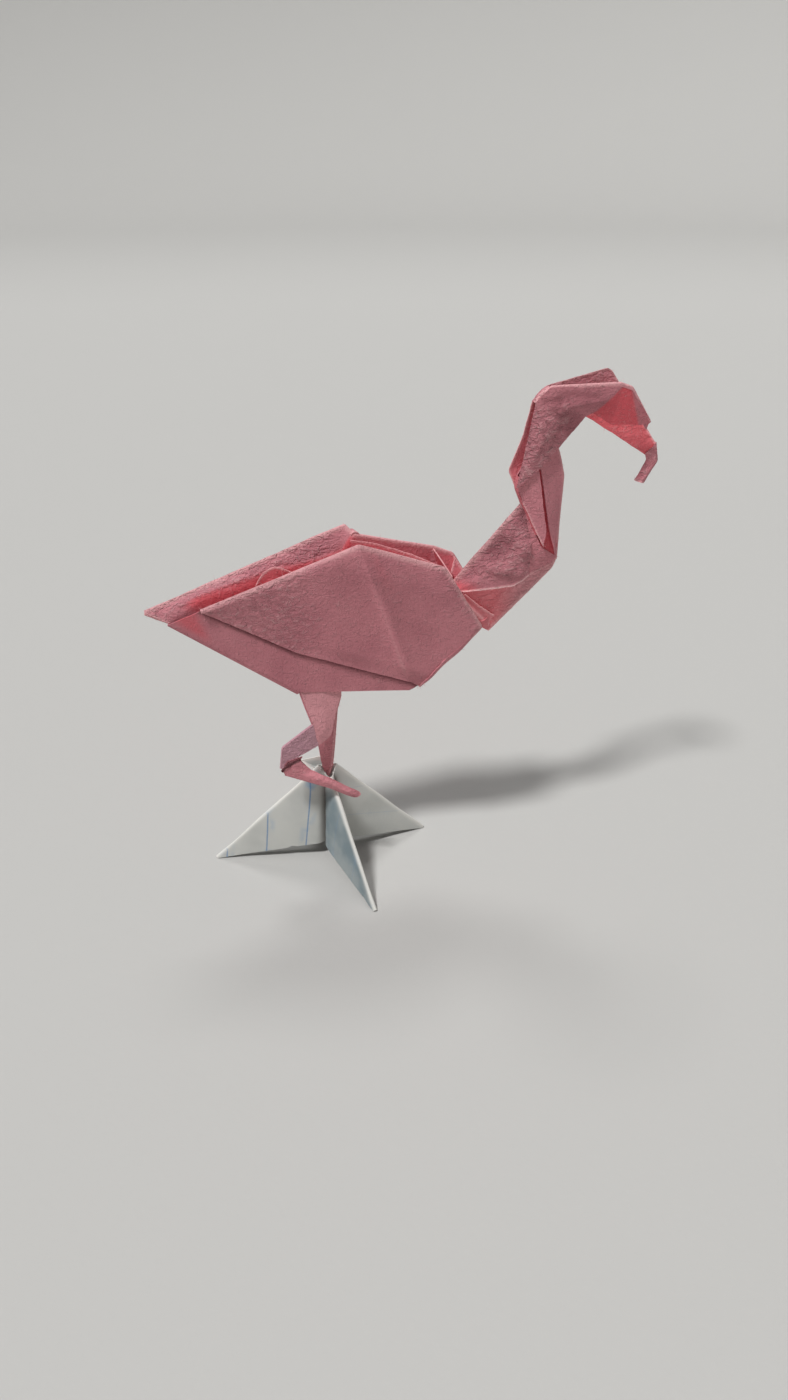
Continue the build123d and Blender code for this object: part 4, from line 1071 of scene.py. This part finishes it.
def ruled_paper():
    """White writing paper: smooth and slightly grey, with thin pale blue rules and a paler blot of their ink
    beside them. Here glow is the strength of the ink, crinkle a bluish painted shade on a face in shade,
    shade the painted shade in the valleys, and the pale creases are rubbed paper and a painted highlight.
    The distance to the nearest rule is the place across the rules, folded back and forth over half their
    spacing."""
    shader = Shader("ruled writing paper")
    wear_and_highlight, crinkle, ink, shade = [shader.mark(name) for name in MARKS]
    source = shader.value("ShaderNodeUVMap", {"uv_map": "flat sheet"}, {})
    parted = shader.node("ShaderNodeSeparateXYZ", {}, {0: source})
    across_rules = Value(shader, parted.outputs[0]) - Value(shader, parted.outputs[1]) * RULE_SLANT
    wobble = shader.noise(500.0, 2.0) - 0.5
    reach = shader.value("ShaderNodeMath", {"operation": "PINGPONG"},
                         {0: across_rules + RULE_START + wobble * 0.08, 1: RULE_SPACING / 2})
    rule = (1 - reach.between(0.06, 0.18)) * ink
    blot = shader.noise(260.0, 2.0).between(0.45, 0.65)
    tint = (1 - reach.between(0.1, 1.7)) * blot * ink
    grain = shader.noise(3200.0, 4.0, 0.6)
    cloud = shader.noise(120.0, 3.0)
    # cool and dark are painted shade, and crease is rubbed paper with a painted highlight
    layers = [(cloud.between(0.3, 0.7), "body high"),
              (crinkle * (0.55 + cloud.between(0.35, 0.65) * 0.4), "cool"), (tint * 0.65, "blot"),
              (rule * (0.5 + grain * 0.5), "ink"), (shade * 0.8, "dark"), (wear_and_highlight * 0.8, "crease")]
    return shader.finish(shader.layered(WHITE, layers), grain * 0.4 + cloud * 0.6, 0.00005,
                         0.6 + grain * 0.15)


def matte(name, colour):
    """A plain matte finish for what the part stands on, with the least unevenness."""
    shader = Shader(name)
    cloud = shader.noise(6.0, 3.0)
    grain = shader.noise(900.0, 3.0)
    tone = shader.mix(cloud * 0.3, colour, tuple(c * 0.96 for c in colour[:3]) + (1.0,))
    return shader.finish(tone, grain, 0.00002, 0.7 + grain * 0.1)


# The pieces

def add(name, mesh, material):
    """An object at the origin with one material."""
    piece = bpy.data.objects.new(name, mesh)
    bpy.context.scene.collection.objects.link(piece)
    piece.data.materials.append(material)
    return piece


# The flamingo is one sheet, shown as three pieces so that none has too many triangles. Each has its number
# of loose fibres and its forms
FORMS = {"flamingo_body": (850, near_wing, far_wing, trough),
         "flamingo_neck": (450, lower_neck, middle_neck, head),
         "flamingo_legs": (200, bent_leg, straight_leg)}
pink = pink_paper()
seed = 0
for name, (hairs, *forms) in FORMS.items():
    sheet = Folded(PAPER, seed)
    for form in forms:
        form(sheet)
    seed += len(sheet.patches)
    piece = add(name, sheet.mesh(name, hairs), pink)
    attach(piece, "root")
    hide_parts("flamingo")

base = add("stand_sheet", stand_sheet().mesh("stand sheet"), ruled_paper())
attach(base, "root")
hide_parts("stand")


# Floor, lights and camera

DISH_SIDES = 96
DISH_BENDS = 13
FLOOR_RADIUS = 0.9
BACKDROP_RISE = 0.5


def dish(radius, rise):
    """The floor, turned about Z: flat up to the radius, then a quarter circle with the rise as its own
    radius, and then straight up to 2.2 times the rise as a low backdrop."""
    turns = np.linspace(0, 2 * np.pi, DISH_SIDES + 1)[:-1]
    bend = np.linspace(0, np.pi / 2, DISH_BENDS)
    reach = np.concatenate([[0.02, 0.2], radius + rise * np.sin(bend), [radius + rise]])
    height = np.concatenate([[0.0, 0.0], rise * (1 - np.cos(bend)), [2.2 * rise]])
    ring = np.stack([np.cos(turns), np.sin(turns)], 1)
    places = np.concatenate([[[0, 0, 0]], np.column_stack([
        (reach[:, None, None] * ring).reshape(-1, 2), np.repeat(height, len(turns))])])
    index = np.arange(len(reach) * len(turns)).reshape(len(reach), -1) + 1
    after = np.roll(index, -1, axis=1)
    quads = np.stack([index[:-1], index[1:], after[1:], after[:-1]], -1).reshape(-1, 4)
    middle = np.stack([np.zeros(len(turns), int), index[0], after[0]], 1)
    mesh = bpy.data.meshes.new("dish")
    mesh.from_pydata(places.tolist(), [], middle.tolist() + quads.tolist())
    mesh.polygons.foreach_set("use_smooth", np.ones(len(mesh.polygons), bool))
    return mesh


floor = add("floor", dish(FLOOR_RADIUS, BACKDROP_RISE), matte("pale table", screen(198, 197, 194)))


def sun(name, place, width, power):
    """A soft far light that shines from a place to AIM, with its width in degrees."""
    light = bpy.data.lights.new(name, "SUN")
    light.angle = radians(width)
    light.energy = power
    holder = bpy.data.objects.new(name, light)
    bpy.context.scene.collection.objects.link(holder)
    holder.location = place
    holder.rotation_euler = (Vector(AIM) - Vector(place)).to_track_quat("-Z", "Y").to_euler()


AIM = (-0.005, 0.0, 0.045)
SKY = (0.95, 0.96, 1.0, 1.0)
SKY_STRENGTH = 0.17
sun("key", (-0.4, -0.2, 0.89), 9, 2.3)
sun("back", (0.1, 0.5, 0.86), 14, 0.6)

world = bpy.data.worlds.new("studio")
bpy.context.scene.world = world
world.use_nodes = True
background = world.node_tree.nodes["Background"]
background.inputs["Color"].default_value = SKY
background.inputs["Strength"].default_value = SKY_STRENGTH

# The camera's place from the socket, its angles down and to the right in degrees, and its lens
CAMERA_PLACE = [-24.2, -146.93, 120.05]
CAMERA_DOWN = 31
CAMERA_RIGHT = 14
LENS = 27.0
FRAME_HEIGHT = 36.0

camera = bpy.data.objects.new("camera", bpy.data.cameras.new("camera"))
bpy.context.scene.collection.objects.link(camera)
camera.location = (np.array(CAMERA_PLACE) + SOCKET) * MM
camera.rotation_euler = (radians(90 - CAMERA_DOWN), 0, -radians(CAMERA_RIGHT))
camera.data.sensor_fit = "VERTICAL"
camera.data.sensor_height = FRAME_HEIGHT
camera.data.lens = LENS
camera.data.clip_start = 0.01
bpy.context.scene.camera = camera
bpy.context.scene.view_settings.view_transform = "Standard"
